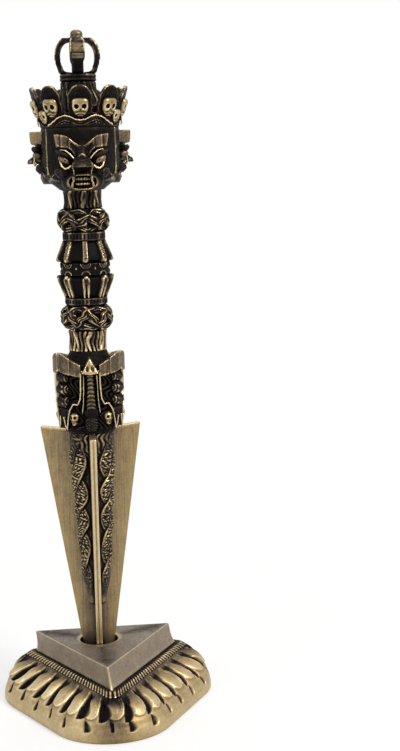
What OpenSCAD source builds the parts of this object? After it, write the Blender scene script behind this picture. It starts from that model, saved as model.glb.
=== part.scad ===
// Phurba: a three-finned ritual dagger with a three-faced head, standing in a lotus stand.
// The origin is at the middle of the stand's underside, on the dagger's axis. The front face looks along -Y.

/* [Stand] */
// Height of the lotus skirt
skirt_h = 12.8; // [9:0.1:18]
// Distance from the axis to the centre of each rounded corner of the skirt
skirt_corner_out = 17; // [13:0.1:20]
// Radius of each rounded corner of the skirt
skirt_corner_r = 21.2; // [18:0.1:25]
// Height of the plain band round the foot of the skirt
skirt_foot_h = 2.2; // [1:0.1:4]
// Lotus petals on each side of the skirt
petals_per_side = 8; // [5:1:12]
// Depth of the slots between the upper petals
petal_groove = 2; // [0.4:0.1:2.4]
// Depth of the slots between the lower petals
lower_groove = 1.1; // [0.3:0.1:1.5]
// How far the stand's outline lies to the right of its socket
stand_right = 2.8; // [-3:0.1:3]
// How far the stand's outline lies in front of its socket
stand_forward = 1.9; // [-3:0.1:3]
// How far the milled rim stands out beyond the foot of the plinth
rim_w = 2.7; // [1.5:0.1:4]
// Height of the milled rim
rim_h = 1.6; // [0.8:0.1:2.4]
// How far the milled rim slopes in towards its top
rim_slope = 1.2; // [0.3:0.1:1.4]
// Ribs on each side of the milled rim
rim_ribs_per_side = 34; // [12:1:44]
// Depth of the notches between those ribs
rim_notch = 0.8; // [0.3:0.1:1.2]
// Height of the plinth
plinth_h = 8.7; // [5:0.1:14]
// Distance from the axis to each corner of the plinth's top
plinth_top_r = 27.2; // [23:0.1:30]
// How much further out each corner of the plinth's foot is
plinth_flare = 2.1; // [0.6:0.1:3]
// How far the plinth's top leans to the left
plinth_lean = 1.2; // [0:0.1:1.5]
// Metal left under the socket
socket_floor = 1.8; // [1:0.1:4]
// Clearance round the blade at the mouth of the socket
socket_gap = 0.25; // [0.2:0.05:0.8]

/* [Blade] */
// Length from the tip to the flat top of the fins
blade_l = 92.5; // [70:0.5:120]
// Distance from the axis to the top corner of each fin
fin_top_r = 19.2; // [15:0.1:24]
// Length of the short point at the tip
point_l = 11; // [7:0.5:14]
// Distance from the axis to the fin's edge where the point starts
point_r = 4.6; // [4:0.1:6]
// Thickness of each fin
fin_t = 2; // [1.4:0.1:2.6]
// Width of the groove along each fin's edge
edge_groove_w = 0.7; // [0.3:0.1:1]
// Depth of that groove
edge_groove_d = 0.3; // [0.1:0.05:0.5]
// Clearance between the tip and the socket's floor
tip_gap = 0.3; // [0.2:0.05:1]
// Radius of the tang inside the handle
tang_r = 1.8; // [1.2:0.1:2.4]
// Clearance between the tang and each casting on it
tang_gap = 0.08; // [0.05:0.01:0.2]

/* [Serpents] */
// Length of the entwined serpents between the fins
serpent_l = 60.5; // [40:0.5:66]
// Distance from the axis to the serpents' backs at their tops
serpent_top_r = 8.6; // [7.6:0.1:10]
// The same distance at their tails
serpent_tail_r = 4.6; // [3.8:0.1:5.4]
// How far the ends of their tails sink towards the axis
serpent_sink = 1.3; // [0:0.1:1.5]
// Depth of the hollows between the two serpents
serpent_relief = 1.1; // [0.3:0.1:1.6]
// Crossings of the two serpents
serpent_crossings = 6; // [3:1:8]

/* [Makara] */
// Height of the makara heads
makara_h = 26.9; // [22:0.1:34]
// Radius of the drum that carries them
makara_core_r = 8.6; // [7.4:0.1:9.4]
// Distance from the axis to the trunks' fronts
trunk_r = 11.4; // [10.6:0.1:13]
// Width of each trunk
trunk_w = 3.4; // [2.4:0.1:4.4]
// Rungs across each trunk
trunk_rungs = 7; // [4:1:9]
// Distance from the axis to the brows' fronts
brow_r = 12.2; // [11:0.1:13.4]
// Height of each brow plate at its outer end
brow_h = 4.6; // [3:0.1:5.6]
// Distance from the axis to the fronts of the jaws and the manes
mane_r = 12; // [11:0.1:13]
// Radius of the small skulls beside each trunk
makara_skull_r = 2; // [1.4:0.1:2.3]

/* [Handle] */
// Radius of the two necks
neck_r = 6.1; // [5.2:0.1:7]
// Height of the lower neck
lower_neck_h = 6.7; // [4:0.1:10]
// Height of the lower knot
lower_knot_h = 8.6; // [6:0.1:12]
// Largest radius of the two knots
knot_r = 8.7; // [7.6:0.1:10]
// Height of the lower bead ring
lower_ring_h = 2.3; // [1.4:0.1:4]
// Radius of the two bead rings
ring_r = 7.1; // [6.4:0.1:8.5]
// Ribs round each bead ring
ring_ribs = 36; // [16:1:40]
// Height of the lower grip
lower_grip_h = 7.5; // [5:0.1:12]
// Height of the ring at the grip's waist
waist_h = 4; // [2.5:0.1:6]
// Radius of that ring
waist_r = 8.6; // [7.6:0.1:9.4]
// Height of the upper grip
upper_grip_h = 7.2; // [5:0.1:12]
// Largest radius of the two grips, over their ribs
grip_r = 9.3; // [8.4:0.1:10.5]
// How far the ribs stand out of the grips
grip_rib = 1.5; // [0.8:0.1:2]
// Ribs round each grip
grip_ribs = 8; // [6:1:12]
// Height of the upper bead ring
upper_ring_h = 2.7; // [1.4:0.1:4]
// Height of the upper knot
upper_knot_h = 7.6; // [5:0.1:12]
// Height of the upper neck
upper_neck_h = 5.9; // [4:0.1:10]

/* [Head] */
// Height of the three faces
face_h = 20; // [16:0.1:26]
// Radius of the core that carries the faces and the crown
head_core_r = 9.2; // [8.4:0.1:10]
// Half the width of each face
face_half_w = 10.8; // [10:0.1:13]
// Distance from the axis to each face's forehead
face_r = 12.8; // [12:0.1:14]
// Distance from the axis to the tip of each nose
nose_r = 18.6; // [17:0.1:20]
// Height of the crown's ring
crown_ring_h = 4.4; // [3:0.1:7]
// Radius of the crown's ring
crown_r = 11.8; // [11:0.1:13]
// Height of the tallest crown leaves above the foot of the ring
leaf_h = 13.2; // [10:0.1:16]
// Width of the tallest crown leaves
leaf_w = 8; // [6.8:0.1:9]
// Lean of the crown leaves
leaf_lean = 20; // [8:1:26]
// Thickness of the crown leaves
leaf_t = 1.5; // [1:0.1:2.2]
// Radius of the largest skulls
skull_r = 2.9; // [2.2:0.1:3.1]
// Thickness of the wavy headbands
headband_t = 1.3; // [0.6:0.1:1.8]
// Height of the headbands
headband_h = 2.4; // [1.4:0.1:3]

/* [Finial] */
// Height of the topknot
topknot_h = 10.1; // [8:0.1:14]
// Radius of the topknot's top
topknot_r = 5.6; // [4.6:0.1:6.6]
// Height of the collar under the prongs
collar_h = 2.5; // [1.6:0.1:4]
// Radius of that collar
collar_r = 6.1; // [5.4:0.1:7]
// Height of the cage of prongs
cage_h = 11.3; // [9:0.1:15]
// Largest radius of the cage
cage_r = 7.2; // [6.4:0.1:8.5]
// Thickness of the outer prongs
prong_t = 1.8; // [1.2:0.1:2.2]
// Width of the outer prongs
prong_w = 4.2; // [3:0.1:4.8]
// Radius of the centre prong
centre_prong_r = 1.5; // [1:0.1:2]
// Height of the bud on top
bud_h = 2.7; // [2:0.1:4]
// Radius of the bud
bud_r = 2.1; // [1.7:0.1:2.8]

/* [Hidden] */
$fn = 72;
// What every face-to-face cut runs past, so that no skin is left
cut_over = 1;

// Levels, from the stand up
plinth_z = skirt_h;
stand_top_z = skirt_h + plinth_h;
tip_z = socket_floor + tip_gap;
blade_top_z = tip_z + blade_l;
makara_top_z = blade_top_z + makara_h;
lower_knot_z = makara_top_z + lower_neck_h;
lower_ring_z = lower_knot_z + lower_knot_h;
lower_grip_z = lower_ring_z + lower_ring_h;
waist_z = lower_grip_z + lower_grip_h;
upper_grip_z = waist_z + waist_h;
upper_ring_z = upper_grip_z + upper_grip_h;
upper_knot_z = upper_ring_z + upper_ring_h;
upper_neck_z = upper_knot_z + upper_knot_h;
face_z = upper_neck_z + upper_neck_h;
crown_z = face_z + face_h;
head_top_z = crown_z + crown_ring_h;
collar_z = head_top_z + topknot_h;
cage_z = collar_z + collar_h;
cage_top_z = cage_z + cage_h;

// The socket fits the fins where they pass the plinth's top
fin_slope = (fin_top_r - point_r) / (blade_l - point_l);
fin_mouth_r = point_r + fin_slope * (stand_top_z - tip_z - point_l);
socket_r = norm([fin_mouth_r, fin_t / 2]) + socket_gap;
plinth_foot_r = plinth_top_r + plinth_flare;

// The tang ends inside the head's core, and the bores for it follow
tang_top_z = crown_z;
tang_bore_r = tang_r + tang_gap;

// Where each tooth of the milled rim rises, ends, falls and starts again, as shares of its pitch
TOOTH = [0.05, 0.4, 0.55, 0.9];
// Width of the slots between the upper petals on each side of the skirt, as shares of a petal
SLOT_WIDTHS = [0.34, 0.42, 0.5];
// Where the slots between the lower petals lie on each side, as shares of a petal past the upper ones
LOWER_SLOTS = [0.1, 0.25, 0.4];
// Angle of each of the three fronts, from +X
FRONTS = [-90, 30, 150];
// Crown leaves of one face: angle from its middle, share of the full height, share of the full skull.
// Nine tall leaves stand evenly round the crown, and a low one over each seam between two faces.
LEAVES = [[0, 1, 1], [-40, 0.94, 0.95], [40, 0.94, 0.95], [60, 0.6, 0.7]];

function lerp(a, b, t) = a + (b - a) * t;
function flat_polar(r, a) = [r * cos(a), r * sin(a)];
function polar(r, a, z) = [r * cos(a), r * sin(a), z];
// 0 at the ends of each period and 1 in its middle, sharp at the ends
function arches(x) = abs(sin(180 * x));
// Signed angle from the nearest of n evenly spaced spokes, one of which points at the front
function off_spoke(a, n) = let (step = 360 / n, x = a + 90) x - step * round(x / step);
// A bump of the given half width, 1 in its middle
function bump(x, half) = let (u = min(abs(x / half), 1)) (1 - u * u) * (1 - u * u);

// Point on a rounded triangle whose corner centres lie c from its middle with corners of radius r.
// u runs 0 to 3, one for each side, from the middle of one corner; out moves it along the normal.
function triangle_point(u, c, r, out = 0) =
    let (
        side = floor(u),
        corner = FRONTS[0] + 120 * side,
        arc = r * PI / 3,
        run = c * sqrt(3),
        d = (u - side) * (2 * arc + run),
        on_first = d < arc,
        on_last = d > arc + run,
        a = on_first ? corner + d / r * 180 / PI
            : on_last ? corner + 60 + (d - arc - run) / r * 180 / PI
            : corner + 60,
        slide = on_first ? 0 : on_last ? run : d - arc,
        from = flat_polar(c, corner) + slide * flat_polar(1, corner + 150)
    )
    [stand_right, -stand_forward] + from + flat_polar(r + out, a);

// Closed solid through rising rings of points, each listed anticlockwise
module loft(rings) {
    n = len(rings[0]);
    m = len(rings);
    points = [for (ring = rings) for (p = ring) p];
    sides = [
        for (j = [0:m - 2]) for (k = [0:n - 1])
            let (a = j * n + k, b = j * n + (k + 1) % n)
            each [[a, a + n, b], [b, a + n, b + n]]
    ];
    bottom = [[for (k = [0:n - 1]) k]];
    top = [[for (k = [n - 1:-1:0]) (m - 1) * n + k]];
    polyhedron(points, concat(bottom, sides, top), convexity = 8);
}

// Turned piece whose radius also varies round it: radius(a, t), with t from 0 at its foot to 1 at its top
module relief(h, steps, n, radius) {
    loft([
        for (j = [0:steps])
            [for (k = [0:n - 1]) let (a = -90 + 360 * k / n) polar(radius(a, j / steps), a, h * j / steps)]
    ]);
}

// A handle casting: its foot at z, bored for the tang
module threaded_on_tang(z, h) {
    difference() {
        translate([0, 0, z]) children();
        translate([0, 0, z - cut_over]) cylinder(h = h + 2 * cut_over, r = tang_bore_r);
    }
}

// Turns the +X direction to each of the three fronts
module at_fronts() {
    for (a = FRONTS) rotate(a) children();
}

// Prism that stands on its side: the 2D shape holds (distance from the axis, height)
module upright_plate(t) {
    translate([0, t / 2, 0]) rotate([90, 0, 0]) linear_extrude(t) children();
}

// Depth of one drop-shaped slot between two petals, 0 to 1. It is steep on the side where x is 0 and dies out
// towards the next petal. x counts petals round the skirt; t counts from the slot's round foot to its narrow top.
function slot(x, t, width) =
    let (w = t <= 0 || t >= 1 ? 0 : width * 2.6 * sqrt(t) * (1 - t), past = x - floor(x + 0.2))
    w < 0.06 ? 0 : past < 0 ? max(0, 1 + past / 0.12) : past < w ? cos(90 * past / w) : 0;

// How deep the skirt is cut at one place: u as in triangle_point, t from the skirt's foot to the rim
function petal_depth(u, t) =
    let (x = u * petals_per_side + 0.5)
    max(
        petal_groove * slot(x, (t - 0.36) / 0.6, SLOT_WIDTHS[floor(u)]),
        lower_groove * slot(x - LOWER_SLOTS[floor(u)], (t - 0.1) / 0.3, 0.3),
        0.4 * (1 - (x - floor(x))) * arches(t)
    );

// Lotus skirt of the stand, with the lower part of the socket
module lotus_skirt() {
    steps = 12;
    samples = 8;
    n = 3 * petals_per_side * samples;
    sweep = 72;
    color("#a58a58") difference() {
        loft(concat(
            [[for (k = [0:n - 1]) let (p = triangle_point(3 * k / n, skirt_corner_out, skirt_corner_r)) [p.x, p.y, 0]]],
            [
                for (j = [0:steps])
                    let (
                        t = j / steps,
                        inward = (1 - cos(sweep * t)) / (1 - cos(sweep)),
                        c = lerp(skirt_corner_out, plinth_foot_r, inward),
                        r = lerp(skirt_corner_r, rim_w, inward),
                        z = lerp(skirt_foot_h, skirt_h, sin(sweep * t) / sin(sweep))
                    )
                    [
                        for (k = [0:n - 1])
                            let (
                                u = 3 * k / n,
                                depth = petal_depth(u, t),
                                p = triangle_point(u, c, r, -depth * cos(sweep * t))
                            )
                            [p.x, p.y, z - depth * sin(sweep * t)]
                    ]
            ]
        ));
        translate([0, 0, socket_floor]) cylinder(h = skirt_h, r = socket_r);
    }
}

// The plinth without its bore: its sides flare out towards the foot, and it leans as it rises
module plinth_block() {
    loft([
        for (t = [0, 0.12, 0.3, 0.55, 1])
            [
                for (a = FRONTS)
                    [stand_right - plinth_lean * t, -stand_forward, plinth_z + plinth_h * t]
                    + polar(plinth_top_r + plinth_flare * pow(1 - t, 3), a, 0)
            ]
    ]);
}

// Three-cornered plinth, with the mouth of the socket
module stand_plinth() {
    color("#8d7c68") difference() {
        plinth_block();
        translate([0, 0, plinth_z - cut_over]) cylinder(h = plinth_h + 2 * cut_over, r = socket_r);
    }
}

// Milled rim round the plinth's foot
module milled_rim() {
    teeth = 3 * rim_ribs_per_side;
    side_r = plinth_foot_r / 2 + rim_w;
    color("#6f6049") difference() {
        translate([stand_right, -stand_forward, plinth_z]) linear_extrude(rim_h, scale = 1 - rim_slope / side_r)
            translate([-stand_right, stand_forward]) polygon([
                for (k = [0:teeth - 1]) for (edge = [0, 1, 2, 3])
                    let (
                        u = 3 * (k + TOOTH[edge]) / teeth,
                        out = edge == 0 || edge == 1 ? 0 : -rim_notch
                    )
                    triangle_point(u, plinth_foot_r, rim_w, out)
            ]);
        plinth_block();
    }
}

// Outline of one fin: distance from the axis, height above the tip
function fin_outline() = [
    [0, 0], [point_r * 0.45, point_l * 0.28], [point_r * 0.8, point_l * 0.64], [point_r, point_l],
    [fin_top_r, blade_l], [0, blade_l]
];

// Three-finned blade, with the tang that carries the handle
module blade() {
    edge_l = norm([fin_top_r - point_r, blade_l - point_l]);
    edge_a = atan(fin_slope);
    color("#b09a68") union() {
        difference() {
            at_fronts() translate([0, 0, tip_z]) upright_plate(fin_t) polygon(fin_outline());
            at_fronts() translate([point_r, 0, tip_z + point_l]) rotate([0, edge_a, 0])
                translate([-edge_groove_d, -edge_groove_w / 2, 0])
                    cube([edge_groove_d + cut_over, edge_groove_w, edge_l - edge_groove_w]);
        }
        translate([0, 0, blade_top_z - serpent_l]) cylinder(h = tang_top_z - blade_top_z + serpent_l, r = tang_r);
    }
}

// Entwined serpents, one relief in each valley between two fins
module naga_serpents() {
    steps = 6 * serpent_crossings;
    columns = 12;
    inner = tang_bore_r + 0.4;
    color("#6a5638") for (a = FRONTS) rotate(a + 60) difference() {
        loft([
            for (j = [0:steps])
                let (
                    t = j / steps,
                    sink = serpent_sink * max(0, 1 - t / 0.15),
                    back_r = lerp(serpent_tail_r, serpent_top_r, t) - sink,
                    depth = serpent_relief * min(1, back_r / serpent_top_r),
                    phase = 180 * serpent_crossings * t,
                    swing = 0.38 * cos(phase),
                    z = blade_top_z - serpent_l + serpent_l * t
                )
                concat(
                    [
                        for (k = [0:columns])
                            let (
                                s = 2 * k / columns - 1,
                                one = bump(s - swing, 0.62) * (0.75 - 0.25 * sin(phase)),
                                other = bump(s + swing, 0.62) * (0.75 + 0.25 * sin(phase)),
                                body = max(one, other),
                                r = back_r - depth * (1 - body),
                                half = 60 - asin(fin_t / 2 / r)
                            )
                            polar(r, half * s, z)
                    ],
                    [[fin_t / 2 / sin(60), 0, z]]
                )
        ]);
        translate([0, 0, blade_top_z - serpent_l - cut_over])
            cylinder(h = serpent_l + 2 * cut_over, r = inner);
    }
}

// The drum without its bore
module makara_drum_block() {
    rotate_extrude() polygon([
        [0, blade_top_z], [makara_core_r, blade_top_z], [makara_core_r, blade_top_z + makara_h * 0.8],
        [neck_r, makara_top_z], [0, makara_top_z]
    ]);
}

// Drum on the blade that carries the three makara heads
module makara_drum() {
    color("#4a3b2c") difference() {
        makara_drum_block();
        translate([0, 0, blade_top_z - cut_over]) cylinder(h = makara_h + 2 * cut_over, r = tang_bore_r);
    }
}

// Trunk side profile with its rungs: distance from the axis, height above the drum's foot
function trunk_outline() =
    let (foot = makara_h * 0.3, top = makara_h * 0.68, pitch = (top - foot) / trunk_rungs, notch = 0.45)
    concat(
        [[makara_core_r - cut_over, top], [makara_core_r - cut_over, foot]],
        [
            for (k = [0:trunk_rungs - 1])
                each [
                    [trunk_r - notch, foot + k * pitch], [trunk_r - notch, foot + (k + 0.45) * pitch],
                    [trunk_r, foot + (k + 0.55) * pitch], [trunk_r, foot + (k + 0.95) * pitch]
                ]
        ]
    );

// Trunks with their rungs, side lines, noses and bulbs
module makara_trunk_solids() {
    bulb_r = 3;
    line_t = 0.9;
    at_fronts() translate([0, 0, blade_top_z]) {
        upright_plate(trunk_w) polygon(trunk_outline());
        for (side = [-1, 1])
            translate([0, side * (trunk_w / 2 + line_t / 2), 0])
                upright_plate(line_t) polygon([
                    [makara_core_r - cut_over, makara_h * 0.2], [trunk_r, makara_h * 0.2],
                    [trunk_r - 0.4, makara_h * 0.72], [makara_core_r - cut_over, makara_h * 0.72]
                ]);
        translate([trunk_r - bulb_r, 0, bulb_r + 0.4]) sphere(r = bulb_r);
        translate([trunk_r - 2.6, 0, makara_h * 0.68]) cylinder(h = makara_h * 0.24, r1 = 3, r2 = 1.2);
    }
}

// Brows in three steps to each side
module makara_brow_solids() {
    at_fronts() for (side = [-1, 1]) for (k = [0:2])
        rotate(side * (23 + 14 * k))
            translate([makara_core_r - cut_over, -1.4, blade_top_z + makara_h * (0.7 + 0.035 * k)])
                cube([brow_r - makara_core_r + cut_over - 0.25 * (2 - k), 2.8, brow_h - 0.6 * (2 - k)]);
}

// Skulls beside the bulbs
module makara_skull_solids() {
    at_fronts() for (side = [-1, 1]) rotate(side * 31)
        translate([makara_core_r + makara_skull_r * 0.4, 0, blade_top_z + makara_h * 0.15])
            sphere(r = makara_skull_r);
}

// One V beside each lower corner of a makara
module makara_jaw_solids() {
    h = makara_h * 0.28;
    at_fronts() for (side = [-1, 1]) rotate(side * 47)
        translate([makara_core_r - cut_over, 0, blade_top_z]) rotate([90, 0, 90])
            linear_extrude(mane_r - makara_core_r + cut_over) polygon([
                [-0.12 * h, 0], [0.12 * h, 0], [0.33 * h, h], [0.16 * h, h], [0, 0.34 * h], [-0.16 * h, h],
                [-0.33 * h, h]
            ]);
}

// Trunks of the three makaras
module makara_trunks() {
    color("#8f7a50") difference() {
        makara_trunk_solids();
        makara_drum_block();
    }
}

// Stepped brows, fitted against the noses
module makara_brows() {
    color("#a08a5c") difference() {
        makara_brow_solids();
        makara_drum_block();
        makara_trunk_solids();
    }
}

// Small skulls, fitted against the bulbs
module makara_skulls() {
    color("#b39c6c") difference() {
        makara_skull_solids();
        makara_drum_block();
        makara_trunk_solids();
    }
}

// Curled jaws, fitted against the skulls
module makara_jaws() {
    color("#97825a") difference() {
        makara_jaw_solids();
        makara_drum_block();
        makara_trunk_solids();
        makara_skull_solids();
    }
}

// Curled manes in the corners between the makaras, fitted between jaws and brows
module makara_manes() {
    curl_r = mane_r - makara_core_r + 0.6;
    color("#4f412f") difference() {
        at_fronts() rotate(60) for (k = [0:2])
            translate([makara_core_r - 0.6, 3, blade_top_z + makara_h * (0.34 + 0.13 * k)]) rotate([90, 0, 0])
                cylinder(h = 6, r = curl_r - 0.5 * (k % 2));
        makara_drum_block();
        makara_trunk_solids();
        makara_brow_solids();
        makara_skull_solids();
        makara_jaw_solids();
    }
}

// Strands round a neck
module neck_strands(h) {
    strands = 18;
    relief(h, 3, strands * 4, function (a, t) neck_r - 0.5 * (1 - arches(a / 360 * strands + 0.25 * t)));
}

// Interlaced straps round a knot
module knot_straps(h) {
    straps = 6;
    relief(h, 8, 72, function (a, t)
        let (
            u = a / 360 * straps + 0.5 * t,
            v = a / 360 * straps - 0.5 * t,
            strap = max(arches(u), arches(v)),
            barrel = pow(sin(180 * lerp(0.08, 0.92, t)), 0.5)
        )
        lerp(neck_r, knot_r, barrel) - 0.7 * (1 - strap));
}

// Ribbed ring
module bead_ring_body(h) {
    linear_extrude(h) polygon([
        for (k = [0:4 * ring_ribs - 1])
            flat_polar(ring_r - 0.35 * (k % 4 < 2 ? 0 : 1), 90 / ring_ribs * (k + 0.5))
    ]);
}

// Ribbed half of the grip: narrow at its foot, or upside down
module grip_body(h, narrow_r) {
    swell = 0.82;
    relief(h, 6, grip_ribs * 10, function (a, t)
        let (
            r = t < swell ? lerp(narrow_r, grip_r, t / swell) : lerp(grip_r, waist_r, (t - swell) / (1 - swell)),
            rib = bump(off_spoke(a, grip_ribs), 110 / grip_ribs)
        )
        r - grip_rib * (1 - rib));
}

module lower_neck() {
    color("#54442f") threaded_on_tang(makara_top_z, lower_neck_h) neck_strands(lower_neck_h);
}

module lower_knot() {
    color("#6b583a") threaded_on_tang(lower_knot_z, lower_knot_h) knot_straps(lower_knot_h);
}

module lower_bead_ring() {
    color("#7a6645") threaded_on_tang(lower_ring_z, lower_ring_h) bead_ring_body(lower_ring_h);
}

module lower_grip() {
    color("#5c4a31") threaded_on_tang(lower_grip_z, lower_grip_h) grip_body(lower_grip_h, ring_r);
}

// Ring at the waist of the grip, with an arch over each rib
module grip_waist_ring() {
    color("#6b583a") threaded_on_tang(waist_z, waist_h)
        relief(waist_h, 4, grip_ribs * 8, function (a, t)
            waist_r - 0.9 * (1 - bump(off_spoke(a, grip_ribs), 150 / grip_ribs)) * arches(t));
}

module upper_grip() {
    color("#5c4a31") threaded_on_tang(upper_grip_z, upper_grip_h)
        translate([0, 0, upper_grip_h]) mirror([0, 0, 1]) grip_body(upper_grip_h, ring_r);
}

module upper_bead_ring() {
    color("#7a6645") threaded_on_tang(upper_ring_z, upper_ring_h) bead_ring_body(upper_ring_h);
}

module upper_knot() {
    color("#6b583a") threaded_on_tang(upper_knot_z, upper_knot_h) knot_straps(upper_knot_h);
}

module upper_neck() {
    color("#54442f") threaded_on_tang(upper_neck_z, upper_neck_h) neck_strands(upper_neck_h);
}

// The head's core without its bore
module head_core_block() {
    rotate_extrude() polygon([
        [0, face_z], [neck_r, face_z], [head_core_r, face_z + 3], [head_core_r, head_top_z], [0, head_top_z]
    ]);
}

// Core of the head, closed over the tang
module head_core() {
    color("#3f3226") difference() {
        head_core_block();
        translate([0, 0, face_z - cut_over]) cylinder(h = tang_top_z + tang_gap - face_z + cut_over, r = tang_bore_r);
    }
}

// Cross-section of a face at share t of its height, seen from above with the front along +X
function face_section(t) =
    let (
        chin = sin(90 * min(1, t / 0.28)),
        brow = 1 - 0.06 * pow(t, 4),
        w = lerp(neck_r, face_half_w, chin) * brow,
        seam = w / tan(60),
        front = lerp(neck_r + 2, face_r, chin) * brow
    )
    concat(
        [for (k = [0:8]) let (a = -90 + 22.5 * k) [lerp(seam, front, cos(a)), w * sin(a)]],
        [[0, 0]]
    );

// One wrathful face that looks along +X, with its foot at face_z
module face() {
    difference() {
        translate([0, 0, face_z]) {
            loft([for (j = [0:8]) [for (p = face_section(j / 8)) [p.x, p.y, face_h * j / 8]]]);
            // Nose, from the brows down to the upper lip
            translate([0, 0, face_h * 0.375]) upright_plate(5.8) polygon([
                [face_r - 3, 0], [nose_r - 0.5, 0], [nose_r, 0.7], [face_r + 1.5, face_h * 0.2],
                [face_r, face_h * 0.3], [face_r - 3, face_h * 0.3]
            ]);
            // Brows that rise outward
            for (side = [-1, 1])
                translate([face_r - 2.4, side * 4.6, face_h * 0.755]) rotate([side * 24, 0, side * 10])
                    translate([0, -4.1, -1.9]) cube([4.6, 8.2, 3.8]);
            // Eyes
            for (side = [-1, 1]) translate([face_r - 1.2, side * 5.6, face_h * 0.485]) sphere(r = 2.5);
            // Open mouth with its fangs behind the lip
            translate([face_r - 3.4, 0, face_h * 0.14]) rotate([0, 90, 0]) difference() {
                mouth_slab(5.5, 5);
                translate([0, 0, 2.8]) mouth_slab(4.6, 3);
            }
        }
        head_core_block();
        // The crown sits on the face's top
        translate([0, -face_half_w * 2, crown_z]) cube([nose_r * 2, face_half_w * 4, face_h]);
        // Neighbouring faces meet this one at the seams
        for (side = [-1, 1]) rotate(side * 60) translate([-30, side > 0 ? 0 : -40, face_z - cut_over])
            cube([70, 40, face_h + 2 * cut_over]);
    }
}

// Wide rounded slab for the mouth: half width w, thickness t, lying flat
module mouth_slab(w, t) {
    lip = w * 0.48;
    linear_extrude(t) union() {
        for (side = [-1, 1]) translate([0, side * (w - lip)]) circle(r = lip);
        square([2 * lip, 2 * (w - lip)], center = true);
    }
}

module face_front() {
    color("#7d6a48") rotate(FRONTS[0]) face();
}

module face_right() {
    color("#7d6a48") rotate(FRONTS[1]) face();
}

module face_left() {
    color("#7d6a48") rotate(FRONTS[2]) face();
}

// Places its children on the front plane of a crown leaf: +X outward, +Z up the leaf
module on_leaf(a) {
    rotate(a) translate([crown_r, 0, crown_z]) rotate([0, leaf_lean, 0]) children();
}

// The crown's flared ring, thickened outward
module crown_ring_block(out = 0) {
    flare = crown_ring_h * tan(leaf_lean);
    translate([0, 0, crown_z]) cylinder(h = crown_ring_h, r1 = crown_r + out, r2 = crown_r + flare + out);
}

// Flared ring with its leaves, before its middle is cut out. Leaves over a headband start above it.
module crown_solid() {
    difference() {
        union() {
            crown_ring_block();
            for (front = FRONTS) for (leaf = LEAVES) on_leaf(front + leaf[0]) {
                half = leaf_w / 2 * leaf[2];
                h = leaf_h * leaf[1] / cos(leaf_lean);
                foot = leaf[1] < 0.9 ? 0 : min(headband_h + 0.9, crown_ring_h - 0.5) / cos(leaf_lean);
                translate([-leaf_t, 0, 0]) rotate([90, 0, 90]) linear_extrude(leaf_t) union() {
                    translate([-half, foot]) square([2 * half, h - half - foot]);
                    translate([0, h - half]) circle(r = half);
                }
            }
        }
        translate([0, 0, crown_z - 4 * cut_over]) cylinder(h = 4 * cut_over, r = crown_r * 2);
    }
}

// Three wavy bands, before they are fitted round the crown
module headband_solids() {
    half_w = crown_r * 0.58;
    waves = 24;
    intersection() {
        at_fronts() translate([crown_r / 2, 0, crown_z]) rotate([90, 0, 90]) linear_extrude(crown_r) polygon(concat(
            [for (k = [0:waves]) let (s = 2 * k / waves - 1) [half_w * s, 0.9 * arches(s)]],
            [for (k = [waves:-1:0]) let (s = 2 * k / waves - 1) [half_w * s, headband_h + 0.9 * arches(s) - 0.8 * s * s]]
        ));
        crown_ring_block(headband_t);
    }
}

// Wavy headband over each face, on the front of the crown's ring
module headbands() {
    color("#857049") difference() {
        headband_solids();
        crown_ring_block();
    }
}

// Crown round the head's core
module crown() {
    color("#5a4930") difference() {
        crown_solid();
        head_core_block();
    }
}

// Skulls, one on each crown leaf
module crown_skulls() {
    color("#b39c6c") difference() {
        for (front = FRONTS) for (leaf = LEAVES) on_leaf(front + leaf[0]) {
            r = skull_r * leaf[2];
            low = leaf[1] < 0.9;
            up = low ? r + 0.5 : leaf_h * leaf[1] * 0.48;
            difference() {
                union() {
                    translate([r * 0.3, 0, up]) sphere(r = r);
                    if (!low) translate([0, -r * 0.45, up - r * 1.2]) cube([r * 0.9, r * 0.9, r]);
                }
                translate([-2 * r, -2 * r, up - 3 * r]) cube([2 * r, 4 * r, 6 * r]);
            }
        }
        crown_solid();
        headband_solids();
    }
}

// Hair drawn up into a topknot
module topknot() {
    flutes = 20;
    color("#3c3025") translate([0, 0, head_top_z]) relief(topknot_h, 5, flutes * 4, function (a, t)
        let (r = lerp(head_core_r - 0.2, topknot_r, pow(t, 1.4)))
        r - 0.35 * (1 - arches(a / 360 * flutes)));
}

// Double-rimmed collar under the prongs
module finial_collar() {
    rim = collar_h * 0.34;
    color("#4a3b2c") translate([0, 0, collar_z]) rotate_extrude() polygon([
        [0, 0], [topknot_r, 0], [collar_r, rim * 0.4], [collar_r, rim], [collar_r - 0.7, rim * 1.3],
        [collar_r - 0.7, rim * 1.7], [collar_r, rim * 2], [collar_r, rim * 2.6], [collar_r - 0.4, collar_h],
        [0, collar_h]
    ]);
}

// Radius of the cage at share t of its height, on its outside
function cage_radius(t) =
    let (belly = 0.52, foot_r = collar_r - 0.6)
    t < belly ? lerp(foot_r, cage_r, sin(90 * t / belly))
    : lerp(bud_r, cage_r, sqrt(1 - pow((t - belly) / (1 - belly), 2)));

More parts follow.
